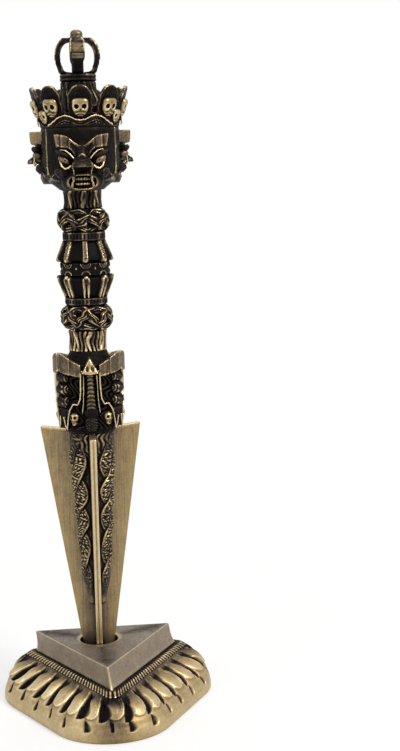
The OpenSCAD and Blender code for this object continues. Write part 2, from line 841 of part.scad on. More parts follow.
// Four curved prongs that close over the centre one
module finial_outer_prongs() {
    steps = 18;
    inner_share = (cage_h - prong_t) / cage_h;
    color("#77633f") translate([0, 0, cage_z]) intersection() {
        rotate_extrude() polygon(concat(
            [for (j = [0:steps]) [cage_radius(j / steps), cage_h * j / steps]],
            [[centre_prong_r, cage_h], [centre_prong_r, cage_h * inner_share]],
            [
                for (j = [steps:-1:0])
                    let (t = j / steps * inner_share * 0.999)
                    [max(centre_prong_r, cage_radius(t) - prong_t), cage_h * t]
            ]
        ));
        union() {
            for (a = [0, 90]) rotate(a)
                translate([-cage_r * 2, -prong_w / 2, -cut_over]) cube([cage_r * 4, prong_w, cage_h + 2 * cut_over]);
        }
    }
}

// Straight prong in the middle of the cage
module finial_centre_prong() {
    color("#5c4a31") translate([0, 0, cage_z]) cylinder(h = cage_h, r = centre_prong_r);
}

// Bud where the prongs meet
module finial_bud() {
    color("#8f7a50") translate([0, 0, cage_top_z]) rotate_extrude() polygon(concat(
        [[0, 0]],
        [for (j = [0:12]) let (a = 90 * j / 12) [bud_r * pow(cos(a), 0.7), bud_h * sin(a)]]
    ));
}

lotus_skirt();
milled_rim();
stand_plinth();
blade();
naga_serpents();
makara_drum();
makara_trunks();
makara_brows();
makara_jaws();
makara_manes();
makara_skulls();
lower_neck();
lower_knot();
lower_bead_ring();
lower_grip();
grip_waist_ring();
upper_grip();
upper_bead_ring();
upper_knot();
upper_neck();
head_core();
face_front();
face_right();
face_left();
headbands();
crown();
crown_skulls();
topknot();
finial_collar();
finial_outer_prongs();
finial_centre_prong();
finial_bud();
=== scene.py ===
# %% [markdown]
# # A small phurba on its lotus stand
# The object is cast brass, about 225 mm tall: a three-finned dagger whose handle is a stack of ornaments,
# standing point down in a three-cornered stand. The solids come packed as a frame, and this script dresses
# each of them with a finely shaped casting that sits in the same place. Lengths in the cells are
# millimetres until a mesh is made.

# %% Load the frame
import functools
import math

import bpy
import numpy as np
import openvdb
from mathutils import Matrix, Vector


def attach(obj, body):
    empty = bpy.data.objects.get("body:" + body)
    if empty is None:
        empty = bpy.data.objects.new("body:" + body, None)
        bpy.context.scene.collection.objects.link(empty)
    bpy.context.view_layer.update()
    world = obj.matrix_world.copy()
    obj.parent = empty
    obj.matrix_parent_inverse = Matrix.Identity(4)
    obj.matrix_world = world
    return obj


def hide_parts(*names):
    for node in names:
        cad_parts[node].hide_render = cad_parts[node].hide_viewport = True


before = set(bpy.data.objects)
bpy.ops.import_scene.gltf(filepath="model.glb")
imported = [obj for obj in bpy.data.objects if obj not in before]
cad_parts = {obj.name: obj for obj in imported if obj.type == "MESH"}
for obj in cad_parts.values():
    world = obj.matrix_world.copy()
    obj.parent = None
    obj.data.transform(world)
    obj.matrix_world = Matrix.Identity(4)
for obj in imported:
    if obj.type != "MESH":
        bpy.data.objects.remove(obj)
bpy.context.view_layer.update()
MM = 0.001
print("nodes in the frame:", len(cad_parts))

# %% [markdown]
# The camera stands nearly half a metre in front, as high as the dagger's faces and a little to the left,
# and looks slightly down and to the right. It is built from those few angles, because they say more than a
# matrix does. The focal length is that of a short telephoto lens, as used for a catalogue picture.

# %% Camera
CAMERA_AT = Vector((-12.0, -462.3, 184.6)) * MM
LOOK_DOWN, LOOK_RIGHT, ROLL = (math.radians(a) for a in (8.98, 6.06, -1.46))
FOCAL_IN_PIXELS = 1401.4
IMAGE_HEIGHT = 751


def add_camera():
    lens = bpy.data.cameras.new("camera")
    lens.sensor_width = 36
    lens.lens = FOCAL_IN_PIXELS / IMAGE_HEIGHT * lens.sensor_width
    lens.clip_start = 0.05
    camera = bpy.data.objects.new("camera", lens)
    bpy.context.scene.collection.objects.link(camera)
    turn = (
        Matrix.Rotation(-LOOK_RIGHT, 4, "Z")
        @ Matrix.Rotation(math.pi / 2 - LOOK_DOWN, 4, "X")
        @ Matrix.Rotation(ROLL, 4, "Z")
    )
    camera.matrix_world = Matrix.Translation(CAMERA_AT) @ turn
    bpy.context.scene.camera = camera
    return camera


camera = add_camera()
print("lens in millimetres:", round(camera.data.lens, 1))

# %% [markdown]
# Shader maths reads best as ordinary sums. A Signal wraps one socket, so mask * 0.5 or 1 - mask adds the
# Math node it needs. A Finish is one material. All its other nodes come from the one method node.

# %% Shader maths


class Signal:
    """A number or colour that runs from one node to the next."""

    def __init__(self, finish, socket):
        self.finish = finish
        self.socket = socket

    def maths(self, operation, first, second):
        return self.finish.node("ShaderNodeMath", {"operation": operation}, {0: first, 1: second})

    def __add__(self, other):
        return self.maths("ADD", self, other)

    def __sub__(self, other):
        return self.maths("SUBTRACT", self, other)

    def __rsub__(self, other):
        return self.maths("SUBTRACT", other, self)

    def __mul__(self, other):
        return self.maths("MULTIPLY", self, other)

    __radd__ = __add__
    __rmul__ = __mul__


class Finish:
    """A material, or the world, under construction."""

    def __init__(self, name, owner=None):
        self.owner = owner or bpy.data.materials.new(name)
        self.owner.use_nodes = True
        self.tree = self.owner.node_tree
        self.tree.nodes.clear()

    def node(self, kind, settings=None, sockets=None, output=0):
        node = self.tree.nodes.new(kind)
        for key, value in (settings or {}).items():
            if key == "stops":
                set_stops(node.color_ramp.elements, value)
            else:
                setattr(node, key, value)
        for key, value in (sockets or {}).items():
            if isinstance(value, Signal):
                self.tree.links.new(value.socket, node.inputs[key])
            else:
                node.inputs[key].default_value = value
        return Signal(self, node.outputs[output]) if node.outputs else node


def set_stops(elements, stops):
    """Gives a colour ramp its stops: pairs of a place and a colour."""
    while len(elements) < len(stops):
        elements.new(1)
    for element, (place, colour) in zip(elements, stops):
        element.position = place
        element.color = colour


# %% [markdown]
# The picture is a catalogue cut-out: pure white all round, soft light and a faint shadow at most. The world
# and the floor show plain white to the eye and in the metal, while their light on the object stays at a
# plain level. The floor mixes its own white with real shading, so the object still stands on a shadow.

# %% Floor, backdrop light and lamps
FLOOR_WIDTH = 40.0
WORLD_LIGHT = 0.5
FLOOR_SHADING = 0.5
FULL_SHADOW, SHADOW_REACH = 0.03, 0.22
LIT_PLACE = Vector((0, 0, 0.11))


def seen_directly(finish):
    """1 for a ray from the eye or by way of polished metal, 0 for the light that falls on things."""
    rays = ("Is Camera Ray", "Is Glossy Ray", "Is Transmission Ray")
    eye, gloss, through = (finish.node("ShaderNodeLightPath", output=ray) for ray in rays)
    clamped = {"operation": "ADD", "use_clamp": True}
    return finish.node("ShaderNodeMath", clamped, {0: eye + gloss, 1: through})


def light_world():
    world = bpy.data.worlds.new("studio")
    bpy.context.scene.world = world
    finish = Finish("studio", world)
    strength = WORLD_LIGHT + (1 - WORLD_LIGHT) * seen_directly(finish)
    white = finish.node("ShaderNodeBackground", {}, {"Color": (1, 1, 1, 1), "Strength": strength})
    finish.node("ShaderNodeOutputWorld", {}, {"Surface": white})


def floor_finish():
    finish = Finish("white sweep")
    shaded = finish.node("ShaderNodeBsdfDiffuse", {}, {"Color": (0.86, 0.86, 0.86, 1)})
    glow = finish.node("ShaderNodeEmission", {}, {"Color": (1, 1, 1, 1), "Strength": 1.0})
    place = finish.node("ShaderNodeTexCoord", output="Object")
    away = finish.node("ShaderNodeVectorMath", {"operation": "LENGTH"}, {0: place}, output="Value")
    near = finish.node("ShaderNodeMapRange", {"interpolation_type": "SMOOTHSTEP"}, {
        "Value": away, "From Min": FULL_SHADOW, "From Max": SHADOW_REACH,
        "To Min": FLOOR_SHADING, "To Max": 0.0,
    })
    share = (1 - near) * seen_directly(finish)
    mixed = finish.node("ShaderNodeMixShader", {}, {0: share, 1: shaded, 2: glow})
    finish.node("ShaderNodeOutputMaterial", {}, {"Surface": mixed})
    return finish.owner


def add_floor():
    mesh = bpy.data.meshes.new("floor")
    half = FLOOR_WIDTH / 2
    corners = [(-half, -half, 0), (half, -half, 0), (half, half, 0), (-half, half, 0)]
    mesh.from_pydata(corners, [], [(0, 1, 2, 3)])
    mesh.materials.append(floor_finish())
    floor = bpy.data.objects.new("floor", mesh)
    bpy.context.scene.collection.objects.link(floor)


def add_lamp(name, at, size, power, colour):
    """A soft square lamp that looks at the middle of the object."""
    light = bpy.data.lights.new(name, "AREA")
    light.color = colour
    light.size = size
    light.energy = power
    lamp = bpy.data.objects.new(name, light)
    bpy.context.scene.collection.objects.link(lamp)
    lamp.location = at
    lamp.rotation_euler = (LIT_PLACE - lamp.location).to_track_quat("-Z", "Y").to_euler()


light_world()
add_floor()
add_lamp("key from the right", (0.75, -0.75, 0.95), 0.45, 12.0, (1.0, 0.95, 0.86))
add_lamp("fill from the left", (-0.95, -0.55, 0.55), 0.7, 2.5, (0.88, 0.93, 1.0))
add_lamp("top", (0.0, 0.25, 1.1), 0.5, 4.0, (1.0, 1.0, 1.0))
bpy.context.scene.view_settings.view_transform = "Standard"

# %% [markdown]
# All of the object is brass that was darkened chemically and then rubbed: gold comes through on edges and
# high places, and the hollows stay nearly black. So one value, called rub, rules the finish. It is worked
# out from the shape of each casting and kept on the mesh, from 0 in a deep hollow to 1 on a rubbed edge.
# The nodes roughen it with noise, so that no edge is worn evenly, and turn it into colour, metal and
# roughness.

# %% Rubbed brass
BLACK = (0.0048, 0.0038, 0.0036, 1)
BROWN = (0.032, 0.024, 0.020, 1)
UMBER = (0.125, 0.092, 0.062, 1)
GOLD = (0.370, 0.272, 0.132, 1)
PALE = (0.720, 0.580, 0.350, 1)
SLATE = (0.130, 0.108, 0.092, 1)
DULL = (0.350, 0.285, 0.205, 1)


def rubbed_brass(name, stops, grain=0.16, spots=0.12, scratches=0.0, bump=0.10, gloss=0.34):
    """Brass that shows its metal where it is rubbed. The stops give the colour from hollow to edge."""
    finish = Finish(name)
    place = finish.node("ShaderNodeTexCoord", output="Object")
    rub = finish.node("ShaderNodeAttribute", {"attribute_name": "rub"}, output="Fac")
    coarse = finish.node(
        "ShaderNodeTexNoise", {}, {"Vector": place, "Scale": 260.0, "Detail": 5.0, "Roughness": 0.6}
    )
    fine = finish.node("ShaderNodeTexNoise", {}, {"Vector": place, "Scale": 1500.0, "Detail": 3.0})
    stretched = finish.node(
        "ShaderNodeVectorMath", {"operation": "MULTIPLY"}, {0: place, 1: (2600.0, 2600.0, 90.0)}
    )
    brushed = finish.node("ShaderNodeTexNoise", {}, {"Vector": stretched, "Scale": 1.0, "Detail": 2.0})
    worn = rub + grain * (coarse - 0.5) * 2 + spots * (fine - 0.5) * 2 + scratches * (brushed - 0.5) * 2
    colour = finish.node("ShaderNodeValToRGB", {"stops": stops}, {"Fac": worn})
    metal = finish.node("ShaderNodeMapRange", {}, {"Value": worn, "From Min": 0.25, "From Max": 0.6})
    rough = gloss + 0.22 * (1 - worn) + 0.18 * (coarse - 0.5) + scratches * (brushed - 0.5)
    height = 0.6 * coarse + 0.25 * fine + (0.2 + scratches) * brushed
    normal = finish.node("ShaderNodeBump", {}, {"Strength": bump, "Distance": 0.0003, "Height": height})
    surface = finish.node("ShaderNodeBsdfPrincipled", {}, {
        "Base Color": colour, "Metallic": metal, "Roughness": rough, "Normal": normal,
        "Specular IOR Level": 0.06,
    })
    finish.node("ShaderNodeOutputMaterial", {}, {"Surface": surface})
    return finish.owner


ORNAMENT = [(0.30, BLACK), (0.52, BROWN), (0.66, UMBER), (0.82, GOLD), (1.0, PALE)]
PLAIN = [(0.05, BLACK), (0.2, BROWN), (0.36, UMBER), (0.62, GOLD), (0.97, PALE)]
TARNISHED = [(0.05, BLACK), (0.2, BROWN), (0.36, SLATE), (0.62, DULL), (0.97, PALE)]
ornament_brass = rubbed_brass("darkened ornament", ORNAMENT)
blade_brass = rubbed_brass(
    "brushed blade", PLAIN, grain=0.1, spots=0.1, scratches=0.16, bump=0.12, gloss=0.36
)
stand_brass = rubbed_brass("worn stand", PLAIN, grain=0.14, spots=0.14, bump=0.14, gloss=0.4)
plinth_brass = rubbed_brass("tarnished plinth", TARNISHED, grain=0.15, spots=0.16, bump=0.16, gloss=0.42)
print("finishes:", len(bpy.data.materials))

# %% [markdown]
# The founder models the ornaments in wax and casts them. Here the wax is a block of grid points that each
# hold their distance to the metal, less than 0 inside it. Distances blend softly where two shapes meet and
# can be carved, pressed and wrapped round the axis, which fits crowded ornament far better than joining
# meshes would. A mesher then lays a skin over the points where the distance is 0.

# %% Distances: the modelling tools


def join(soft, *shapes):
    """The shapes as one, with a fillet of the given softness where they meet."""
    result = shapes[0]
    for shape in shapes[1:]:
        share = np.clip(0.5 + 0.5 * (shape - result) / soft, 0, 1)
        result = shape + (result - shape) * share - soft * share * (1 - share)
    return result


def carve(shape, tool, soft=0.15):
    return -join(soft, -shape, tool)


def either(*shapes):
    """The shapes as one, with a sharp crease where they meet."""
    return functools.reduce(np.minimum, shapes)


def common(*shapes):
    """Only what lies inside every one of the shapes."""
    return functools.reduce(np.maximum, shapes)


def between(value, low, high):
    """How far outside the range low to high a value lies."""
    return common(low - value, value - high)


def hump(value, middle, width):
    """A smooth rise to 1 round the middle and back."""
    return np.exp(-((value - middle) / width) ** 2)


def share_of(value, start, end):
    """How far a value has come from start to end, from 0 to 1."""
    return np.clip((value - start) / (end - start), 0, 1)


def ball(x, y, z, radius):
    return np.sqrt(x * x + y * y + z * z) - radius


def egg(x, y, z, across, deep, tall):
    """An ellipsoid with the three half-sizes."""
    shell = np.sqrt((x / across) ** 2 + (y / deep) ** 2 + (z / tall) ** 2)
    return (shell - 1) * min(across, deep, tall)


def rod(place, start, end, radius, end_radius=None):
    """A straight round rod between two points, tapered if an end radius is given."""
    end_radius = radius if end_radius is None else end_radius
    along = [b - a for a, b in zip(start, end)]
    offset = [p - a for p, a in zip(place, start)]
    length = sum(c * c for c in along)
    share = np.clip(sum(o * c for o, c in zip(offset, along)) / length, 0, 1)
    gap = np.sqrt(sum((o - c * share) ** 2 for o, c in zip(offset, along)))
    return gap - (radius + (end_radius - radius) * share)


def wire(place, points, radius):
    """A bent wire through the points."""
    return join(0.2, *(rod(place, start, end, radius) for start, end in zip(points, points[1:])))


def profile(value, places, radii):
    """A radius that changes along a value, through the given places."""
    return np.interp(value, places, radii).astype(np.float32)


def wave(turns):
    """Arches: 0 at every whole number and 1 half way between."""
    return np.abs(np.sin(np.pi * turns))


# %% [markdown]
# The ornament repeats round the axis: three heads, eight ribs, many strands. A block of wax can be asked
# for its points as seen from the nearest of any number of evenly spaced spokes, so that one drawing serves
# them all. When a block is cast, it is also blurred. Where the blurred block lies outside the skin the
# metal stands proud and gets rubbed, and where it lies inside there is a hollow. That gives rub for all
# pieces of the block together, so a ring also darkens the foot of the piece that stands on it.

# %% The block of wax
FRONT = -90


class Wax:
    """A block of grid points, in millimetres, and the pieces modelled in it."""

    def __init__(self, low, high, step):
        self.low = np.array(low, dtype=float)
        self.step = step
        counts = [int(round((b - a) / step)) + 1 for a, b in zip(low, high)]
        axes = [a + step * np.arange(n, dtype=np.float32) for a, n in zip(low, counts)]
        self.x = axes[0][:, None, None]
        self.y = axes[1][None, :, None]
        self.z = axes[2][None, None, :]
        self.r = np.hypot(self.x, self.y)
        self.angle = np.arctan2(self.y, self.x)
        self.pieces = {}
        self.tones = {}
        self.wear = {}
        self.bright = []
        self.panels = []
        self.beside = []

    def facing(self, count, front=FRONT):
        """Distance out along the nearest spoke, and sideways from it."""
        step = 2 * np.pi / count
        off = self.angle - math.radians(front)
        off = off - step * np.round(off / step)
        return self.r * np.cos(off), self.r * np.sin(off)

    def strands(self, count, radius, thickness, sway=0.12, rate=0.9, shift=0.0):
        """Cords that run up the block side by side and wander a little."""
        step = 2 * np.pi / count
        angle = self.angle + sway * np.sin(rate * self.z + 3 * self.angle + shift) + shift
        off = angle - step * np.round(angle / step)
        return np.hypot(self.r * off, self.r - radius) - thickness

    def add(self, name, shape, tone=0.0, wear=1.0, bright=None, panel=None):
        """Keeps a piece. Tone lifts or darkens all of it, and wear is how much its edges were rubbed.

        Bright is the part of it that was polished further, and panel the part that was wiped to a soft shine.
        """
        self.pieces[name] = self.filled(shape)
        self.tones[name] = tone
        self.wear[name] = wear
        for kept, part in ((self.bright, bright), (self.panels, panel)):
            if part is not None:
                kept.append(self.filled(part))

    def leave_room(self, shape):
        """Notes metal that is cast elsewhere but lies against these pieces, where they can't be worn."""
        self.beside.append(self.filled(shape))

    def filled(self, shape):
        """The shape's distances at every point of the block."""
        return np.broadcast_to(shape, (self.x.size, self.y.size, self.z.size)).astype(np.float32)


def blurred(volume, width, step):
    """The volume smoothed along each axis, twice, over about the given width."""
    reach = max(1, int(round(width / step)))
    for _ in range(2):
        for axis in range(3):
            padded = np.moveaxis(volume, axis, 0)
            padded = np.concatenate([padded[:1]] * (reach + 1) + [padded] + [padded[-1:]] * reach)
            total = np.cumsum(padded, axis=0, dtype=np.float64)
            span = 2 * reach + 1
            volume = np.moveaxis((total[span:] - total[:-span]) / span, 0, axis).astype(np.float32)
    return volume


def sampled(volume, points):
    """The volume's value at each point, given in grid steps."""
    base = np.clip(np.floor(points).astype(int), 0, np.array(volume.shape) - 2)
    share = points - base
    total = 0
    for corner in np.ndindex(2, 2, 2):
        weight = np.prod(np.where(corner, share, 1 - share), axis=1)
        total = total + weight * volume[tuple((base + corner).T)]
    return total


# %% [markdown]
# Every casting ends as one mesh with its rub stored point by point. It rides on its body and stands for its
# node of the frame. The mesher merges points where the skin is nearly flat, which keeps smooth parts light
# without dulling the ornament.

# %% From wax to brass
FINE_STEP = 0.25
FLAT_MERGE = 0.12
BROAD = 0.8
UNTOUCHED, WIPED, POLISH = 0.32, 0.73, 0.28
FADE = 0.3


def finished(name, points, faces, rub, material, body):
    """A smooth mesh object in its place, tied to the frame."""
    mesh = bpy.data.meshes.new(name)
    mesh.from_pydata((points * MM).tolist(), [], faces)
    mesh.polygons.foreach_set("use_smooth", np.ones(len(mesh.polygons), dtype=bool))
    mesh.attributes.new("rub", "FLOAT", "POINT").data.foreach_set("value", rub.astype(np.float32))
    mesh.materials.append(material)
    mesh.validate()
    piece = bpy.data.objects.new(name, mesh)
    bpy.context.scene.collection.objects.link(piece)
    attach(piece, body)
    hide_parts(name)
    print(name, len(faces), "faces")
    return piece


def cast(wax):
    """Casts all pieces of a block."""
    whole = either(*wax.pieces.values(), *wax.beside)
    near = np.clip(whole, -3 * BROAD, 3 * BROAD)
    edge = blurred(near, wax.step, wax.step) / wax.step
    rise = blurred(near, BROAD, wax.step) / BROAD
    polished, wiped = (either(*parts) if parts else None for parts in (wax.bright, wax.panels))
    for name, shape in wax.pieces.items():
        band = 3 * wax.step
        grid = openvdb.FloatGrid(band)
        grid.copyFromArray(np.clip(shape, -band, band))
        points, triangles, quads = grid.convertToPolygons(0, FLAT_MERGE)
        faces = triangles[:, ::-1].tolist() + quads[:, ::-1].tolist()
        proud = sampled(edge, points) + 0.5 * sampled(rise, points)
        rub = UNTOUCHED + wax.tones[name] + wax.wear[name] * proud
        if wiped is not None:
            rub = rub + np.clip(WIPED - rub, 0, 1) * np.clip(1 - sampled(wiped, points) / FADE, 0, 1)
        if polished is not None:
            rub = rub + POLISH * np.clip(1 - sampled(polished, points) / FADE, 0, 1)
        place = points * wax.step + wax.low
        finished(name, place, faces, np.clip(rub, 0, 1), ornament_brass, "phurba")


# %% [markdown]
# Plain, crisp parts such as the blade and the plinth are better drawn as rings of points, one above the
# other, with extra rings close together wherever an edge is broken with a file.

# %% Rings of points


def lofted(name, rings, rub, material, body):
    """Skins rings of points, each listed anticlockwise, and closes both ends with a middle point."""
    rings = np.asarray(rings, dtype=float)
    rows, count = rings.shape[:2]
    points = np.concatenate([rings.reshape(-1, 3), [rings[0].mean(axis=0), rings[-1].mean(axis=0)]])
    rub = np.concatenate([np.asarray(rub, dtype=float).reshape(-1), [rub[0][0], rub[-1][0]]])
    here = np.arange(count)
    following = (here + 1) % count
    faces = []
    for low in range(0, (rows - 1) * count, count):
        high = low + count
        faces += np.stack([low + here, low + following, high + following, high + here], axis=1).tolist()
    middle = np.full(count, rows * count)
    faces += np.stack([middle, following, here], axis=1).tolist()
    faces += np.stack([middle + 1, high + here, high + following], axis=1).tolist()
    return finished(name, points, faces, rub, material, body)

# %% [markdown]
# The stand's outline is a triangle with rounded corners. Walking round it at an even pace gives the place
# of every petal and rib, so one function turns a step of the walk, 0 to 3, into a point and the direction
# outward. The socket was bored a little off the middle of the casting, so the outline lies forward and to
# the right of the dagger.

# %% Walking round the stand
SKIRT_TOP, RIM_TOP, PLINTH_TOP = 12.8, 14.4, 21.5
FOOT_CORNER, RIM_WIDTH = 29.3, 2.7
SOCKET_RADIUS = 6.44
SOCKET_FLOOR = 1.8
STAND_MIDDLE = np.array([2.8, -1.9])


def even_walk(columns):
    """Evenly spaced steps once round the stand, from the front corner."""
    return 3 * np.arange(columns) / columns


def round_triangle(walk, corner_out, corner_radius):
    """Points on the outline and the directions outward, for the steps of a walk."""
    side = np.floor(walk)
    arc = corner_radius * math.pi / 3
    run = corner_out * math.sqrt(3)
    gone = (walk - side) * (2 * arc + run)
    corner = math.radians(FRONT) + 2 * math.pi / 3 * side
    turned = np.where(gone < arc, gone, np.where(gone > arc + run, gone - run, arc)) / corner_radius
    slide = np.clip(gone - arc, 0, run)
    out = np.stack([np.cos(corner + turned), np.sin(corner + turned)], axis=-1)
    along = np.stack([np.cos(corner + math.radians(150)), np.sin(corner + math.radians(150))], axis=-1)
    centre = corner_out * np.stack([np.cos(corner), np.sin(corner)], axis=-1) + slide[..., None] * along
    return STAND_MIDDLE + centre + corner_radius * out, out


def by_corner(walk, width):
    """1 at the corners, fading over the given part of a side."""
    return hump(np.abs((walk + 0.5) % 1 - 0.5), 0, width)


# %% [markdown]
# The skirt is two rows of lotus petals that hang from the rim and melt into a plain band at the foot. The
# wax was cut with a gouge: one steep stroke beside each petal leaves a drop-shaped slot that stays black,
# and the petal swells from there to a rolled lip. All of it is seen from outside, so it is drawn as a depth
# under a smooth skirt.

# %% Petals
PETALS = 24
LOWER_SLOTS = np.array([0.1, 0.25, 0.4])
SLOT_WIDTHS = np.array([0.34, 0.42, 0.5])
PITCH = 7.4


def slot(across, up, width):
    """Depth of one drop-shaped slot, 0 to 1, steep where across is 0 and dying out towards the next petal."""
    inside = np.clip(up, 0, 1)
    reach = width * 2.6 * np.sqrt(inside) * (1 - inside)
    past = across - np.floor(across + 0.2)
    wall = np.clip(1 + past / 0.09, 0, 1)
    slope = np.cos(0.5 * np.pi * np.clip(past / np.maximum(reach, 0.01), 0, 1)) ** 0.8
    return np.where(past < 0, wall, slope) * np.clip(reach / 0.12, 0, 1) * (np.abs(up - 0.5) < 0.5)


def petal_relief(walk, up):
    """Depth of the carving, and a painted highlight on the lip of each petal's right half, at each step of
    the walk and share of the height.
    """
    chance = np.random.default_rng(11).uniform(-1, 1, (5, PETALS + 2))
    across = walk * PETALS / 3 + 0.5
    number = np.floor(across + 0.2).astype(int)
    side = np.floor(walk).astype(int)
    x = across + 0.06 * np.sin(4 * up + 2 * chance[0][number]) + 0.03 * chance[4][number]
    width = 0.2 * chance[1][number]
    upper = slot(x, (up - 0.36 - 0.04 * chance[2][number]) / 0.6, SLOT_WIDTHS[side] * (1 + width))
    lower = slot(x - LOWER_SLOTS[side], (up - 0.1 - 0.03 * chance[3][number]) / 0.3, 0.26 + 0.4 * width)
    share = x - np.floor(x)
    low = (x - LOWER_SLOTS[side]) % 1
    end = np.clip((0.68 - up) / 0.27, 0, 1)
    half = 0.40 * np.sqrt(1 - end ** 2) * (1 - 0.35 * np.clip((up - 0.75) / 0.25, 0, 1))
    edge = (half - np.abs(share - 0.60)) * PITCH
    tongue = np.sqrt(1 - np.clip(1 - edge / 2.2, 0, 1) ** 2)
    under = np.sqrt(1 - np.clip(np.abs(2 * low - 1), 0, 1) ** 3)
    foot = np.clip(up / 0.22, 0, 1)
    bulge = np.where(edge > 0, 0.85 * tongue, 0) + 0.4 * under * foot * np.clip((0.62 - up) / 0.3, 0, 1)
    swollen = 0.85 * foot * np.clip((1 - up) / 0.1, 0, 1) - bulge
    # Each petal's right half carries its contour lines and a painted highlight on its lip, lighter there than
    # on the left half.
    right = np.clip((share - 0.4) / 0.2, 0.2, 1) * (up < 0.97)
    right = right * (1 - upper)
    depth = common(2.0 * upper, 1.2 * lower, np.clip(swollen, 0, None))
    depth = depth + 0.22 * right * (hump(edge, 0.95, 0.2) + 0.5 * hump(edge, 1.7, 0.2))
    return depth, right * hump(edge, 0.45, 0.35)


# %% Lotus skirt
SKIRT_FOOT = 2.2
SKIRT_COLUMNS, SKIRT_ROWS = 840, 72
FOOT_STRAIGHT, FOOT_ROUND = 17, 21.2
SWEEP = math.radians(72)


def skirt_rings():
    """The skirt's surface from its foot up, its depth under the smooth skirt and the painted highlight on its
    lips.
    """
    walk = even_walk(SKIRT_COLUMNS)
    rise = np.linspace(0, 1, SKIRT_ROWS)
    depth, lip = petal_relief(walk[None, :] + 0 * rise[:, None], rise[:, None] + 0 * walk[None, :])
    rings = []
    for up, row in zip(rise, depth):
        inward = (1 - math.cos(SWEEP * up)) / (1 - math.cos(SWEEP))
        straight = FOOT_STRAIGHT + (FOOT_CORNER - FOOT_STRAIGHT) * inward
        flat, out = round_triangle(walk, straight, FOOT_ROUND + (RIM_WIDTH - FOOT_ROUND) * inward)
        height = SKIRT_FOOT + (SKIRT_TOP - SKIRT_FOOT) * math.sin(SWEEP * up) / math.sin(SWEEP)
        flat = flat - out * (row * math.cos(SWEEP * up))[:, None]
        rings.append(np.column_stack([flat, height - row * math.sin(SWEEP * up)]))
    return np.array(rings), depth, lip


def mean_round(grid, reach):
    """The grid averaged over nearby points, closed round the skirt."""
    for _ in range(2):
        grid = np.mean([np.roll(grid, k, axis=1) for k in range(-reach, reach + 1)], axis=0)
        padded = np.pad(grid, ((reach, reach), (0, 0)), mode="edge")
        grid = np.mean([padded[k:k + len(grid)] for k in range(2 * reach + 1)], axis=0)
    return grid


def circle_ring(flat, radius, height):
    """A ring of the given radius whose points lie under those of another ring."""
    angle = np.arctan2(flat[:, 1], flat[:, 0])
    return np.column_stack([radius * np.cos(angle), radius * np.sin(angle), np.full(len(angle), height)])


def make_skirt():
    rings, depth, lip = skirt_rings()
    fine = mean_round(depth, 3) - depth
    broad = mean_round(depth, 12) - depth
    rise = np.linspace(0, 1, len(rings))[:, None]
    # The lips add a painted highlight to the rub, on the right half of each petal.
    rub = 0.64 + 0.45 * fine + 0.28 * broad + 0.22 * lip - 0.42 * np.clip(depth - 0.5, 0, 1.3)
    # The skirt is made darker round its three corners.
    rub = rub - 0.32 * by_corner(even_walk(SKIRT_COLUMNS), 0.1)
    rub = np.clip(rub - 0.42 * share_of(rise, 0.6, 1.0) + 0.05 * (rise < 0.25), 0, 1)
    foot = rings[0].copy()
    foot[:, 2] = 0.5
    sole = (foot - (*STAND_MIDDLE, 0)) * (0.985, 0.985, 0) + (*STAND_MIDDLE, 0)
    bore = [circle_ring(foot, SOCKET_RADIUS, SKIRT_TOP), circle_ring(foot, SOCKET_RADIUS, SOCKET_FLOOR)]
    every = [circle_ring(foot, 2, 0), sole, foot, *rings, *bore]
    dark = np.zeros(SKIRT_COLUMNS)
    tone = [dark + 0.3, dark + 0.45, rub[0], *rub, dark + 0.1, dark]
    return lofted("lotus_skirt", every, tone, stand_brass, "stand")


make_skirt()

# %% [markdown]
# The strip round the plinth's foot slopes outward, and a small milling wheel left fine ribs across it. The
# ribs rise and fall like the teeth of a rack, so one wave round the outline draws them, and their gaps hold
# black patina.

# %% Milled rim
RIM_RIBS = 102
POINTS_A_RIB = 8
RIB_DEEP = 0.36
RIM_SECTION = [
    (0.3, 0.0, 0.3), (0.05, 0.12, 0.7), (0.12, 0.4, 1.0), (0.3, 0.7, 0.85), (0.62, 1.1, 0.9),
    (1.0, 1.45, 1.0), (1.5, 1.6, 0.7), (2.3, 1.6, 0.4), (3.2, 1.6, 0.2), (4.0, 0.0, 0.0),
]


def make_rim():
    walk = even_walk(RIM_RIBS * POINTS_A_RIB)
    flat, out = round_triangle(walk, FOOT_CORNER, RIM_WIDTH)
    side = FOOT_CORNER / 2 + RIM_WIDTH
    rib = wave(walk * RIM_RIBS / 3)
    rings, rub = [], []
    for inward, height, shine in RIM_SECTION:
        cut = RIB_DEEP * (1 - rib) * (height > 0.4) * (inward < 3)
        ring = STAND_MIDDLE + (flat - STAND_MIDDLE) * (1 - inward / side) - out * cut[:, None]
        rings.append(np.column_stack([ring, SKIRT_TOP + height - cut]))
        rub.append(np.clip(shine * (0.1 + 0.9 * rib ** 1.3), 0, 1))
    return lofted("milled_rim", rings, rub, ornament_brass, "stand")


make_rim()

# %% [markdown]
# The plinth is a plain block. What makes it look cast and filed is its edges: a narrow bevel that catches
# the light, corners that aren't quite sharp, and a foot that flares into the rim. It has a grey tarnish
# that the rest of the brass lacks, and only its edges and the mouth of the socket were rubbed bright.

# %% Plinth
PLINTH_COLUMNS = 540
PLINTH_CORNER = 27.2
PLINTH_LEAN = 1.2
WALL_TALL = 8.2
MOUTH_EDGE = 0.45
TOP_EDGE = ((0.05, 21.22, 0.5), (0.2, 21.44, 0.75), (0.5, 21.5, 0.66), (1.1, 21.5, 0.44))
MOUTH = ((0.1, 21.42, 0.9), (0, 21.1, 0.25), (0, 17, 0.0), (0, 12.82, 0.0))


def plinth_ring(corner, height, rounding=0.35):
    """A triangle ring whose corners reach the given distance from the axis."""
    flat, out = round_triangle(even_walk(PLINTH_COLUMNS), corner - 2 * rounding, rounding)
    flat = flat - (PLINTH_LEAN * (height - SKIRT_TOP) / (PLINTH_TOP - SKIRT_TOP), 0)
    return np.column_stack([flat, np.full(PLINTH_COLUMNS, height)])


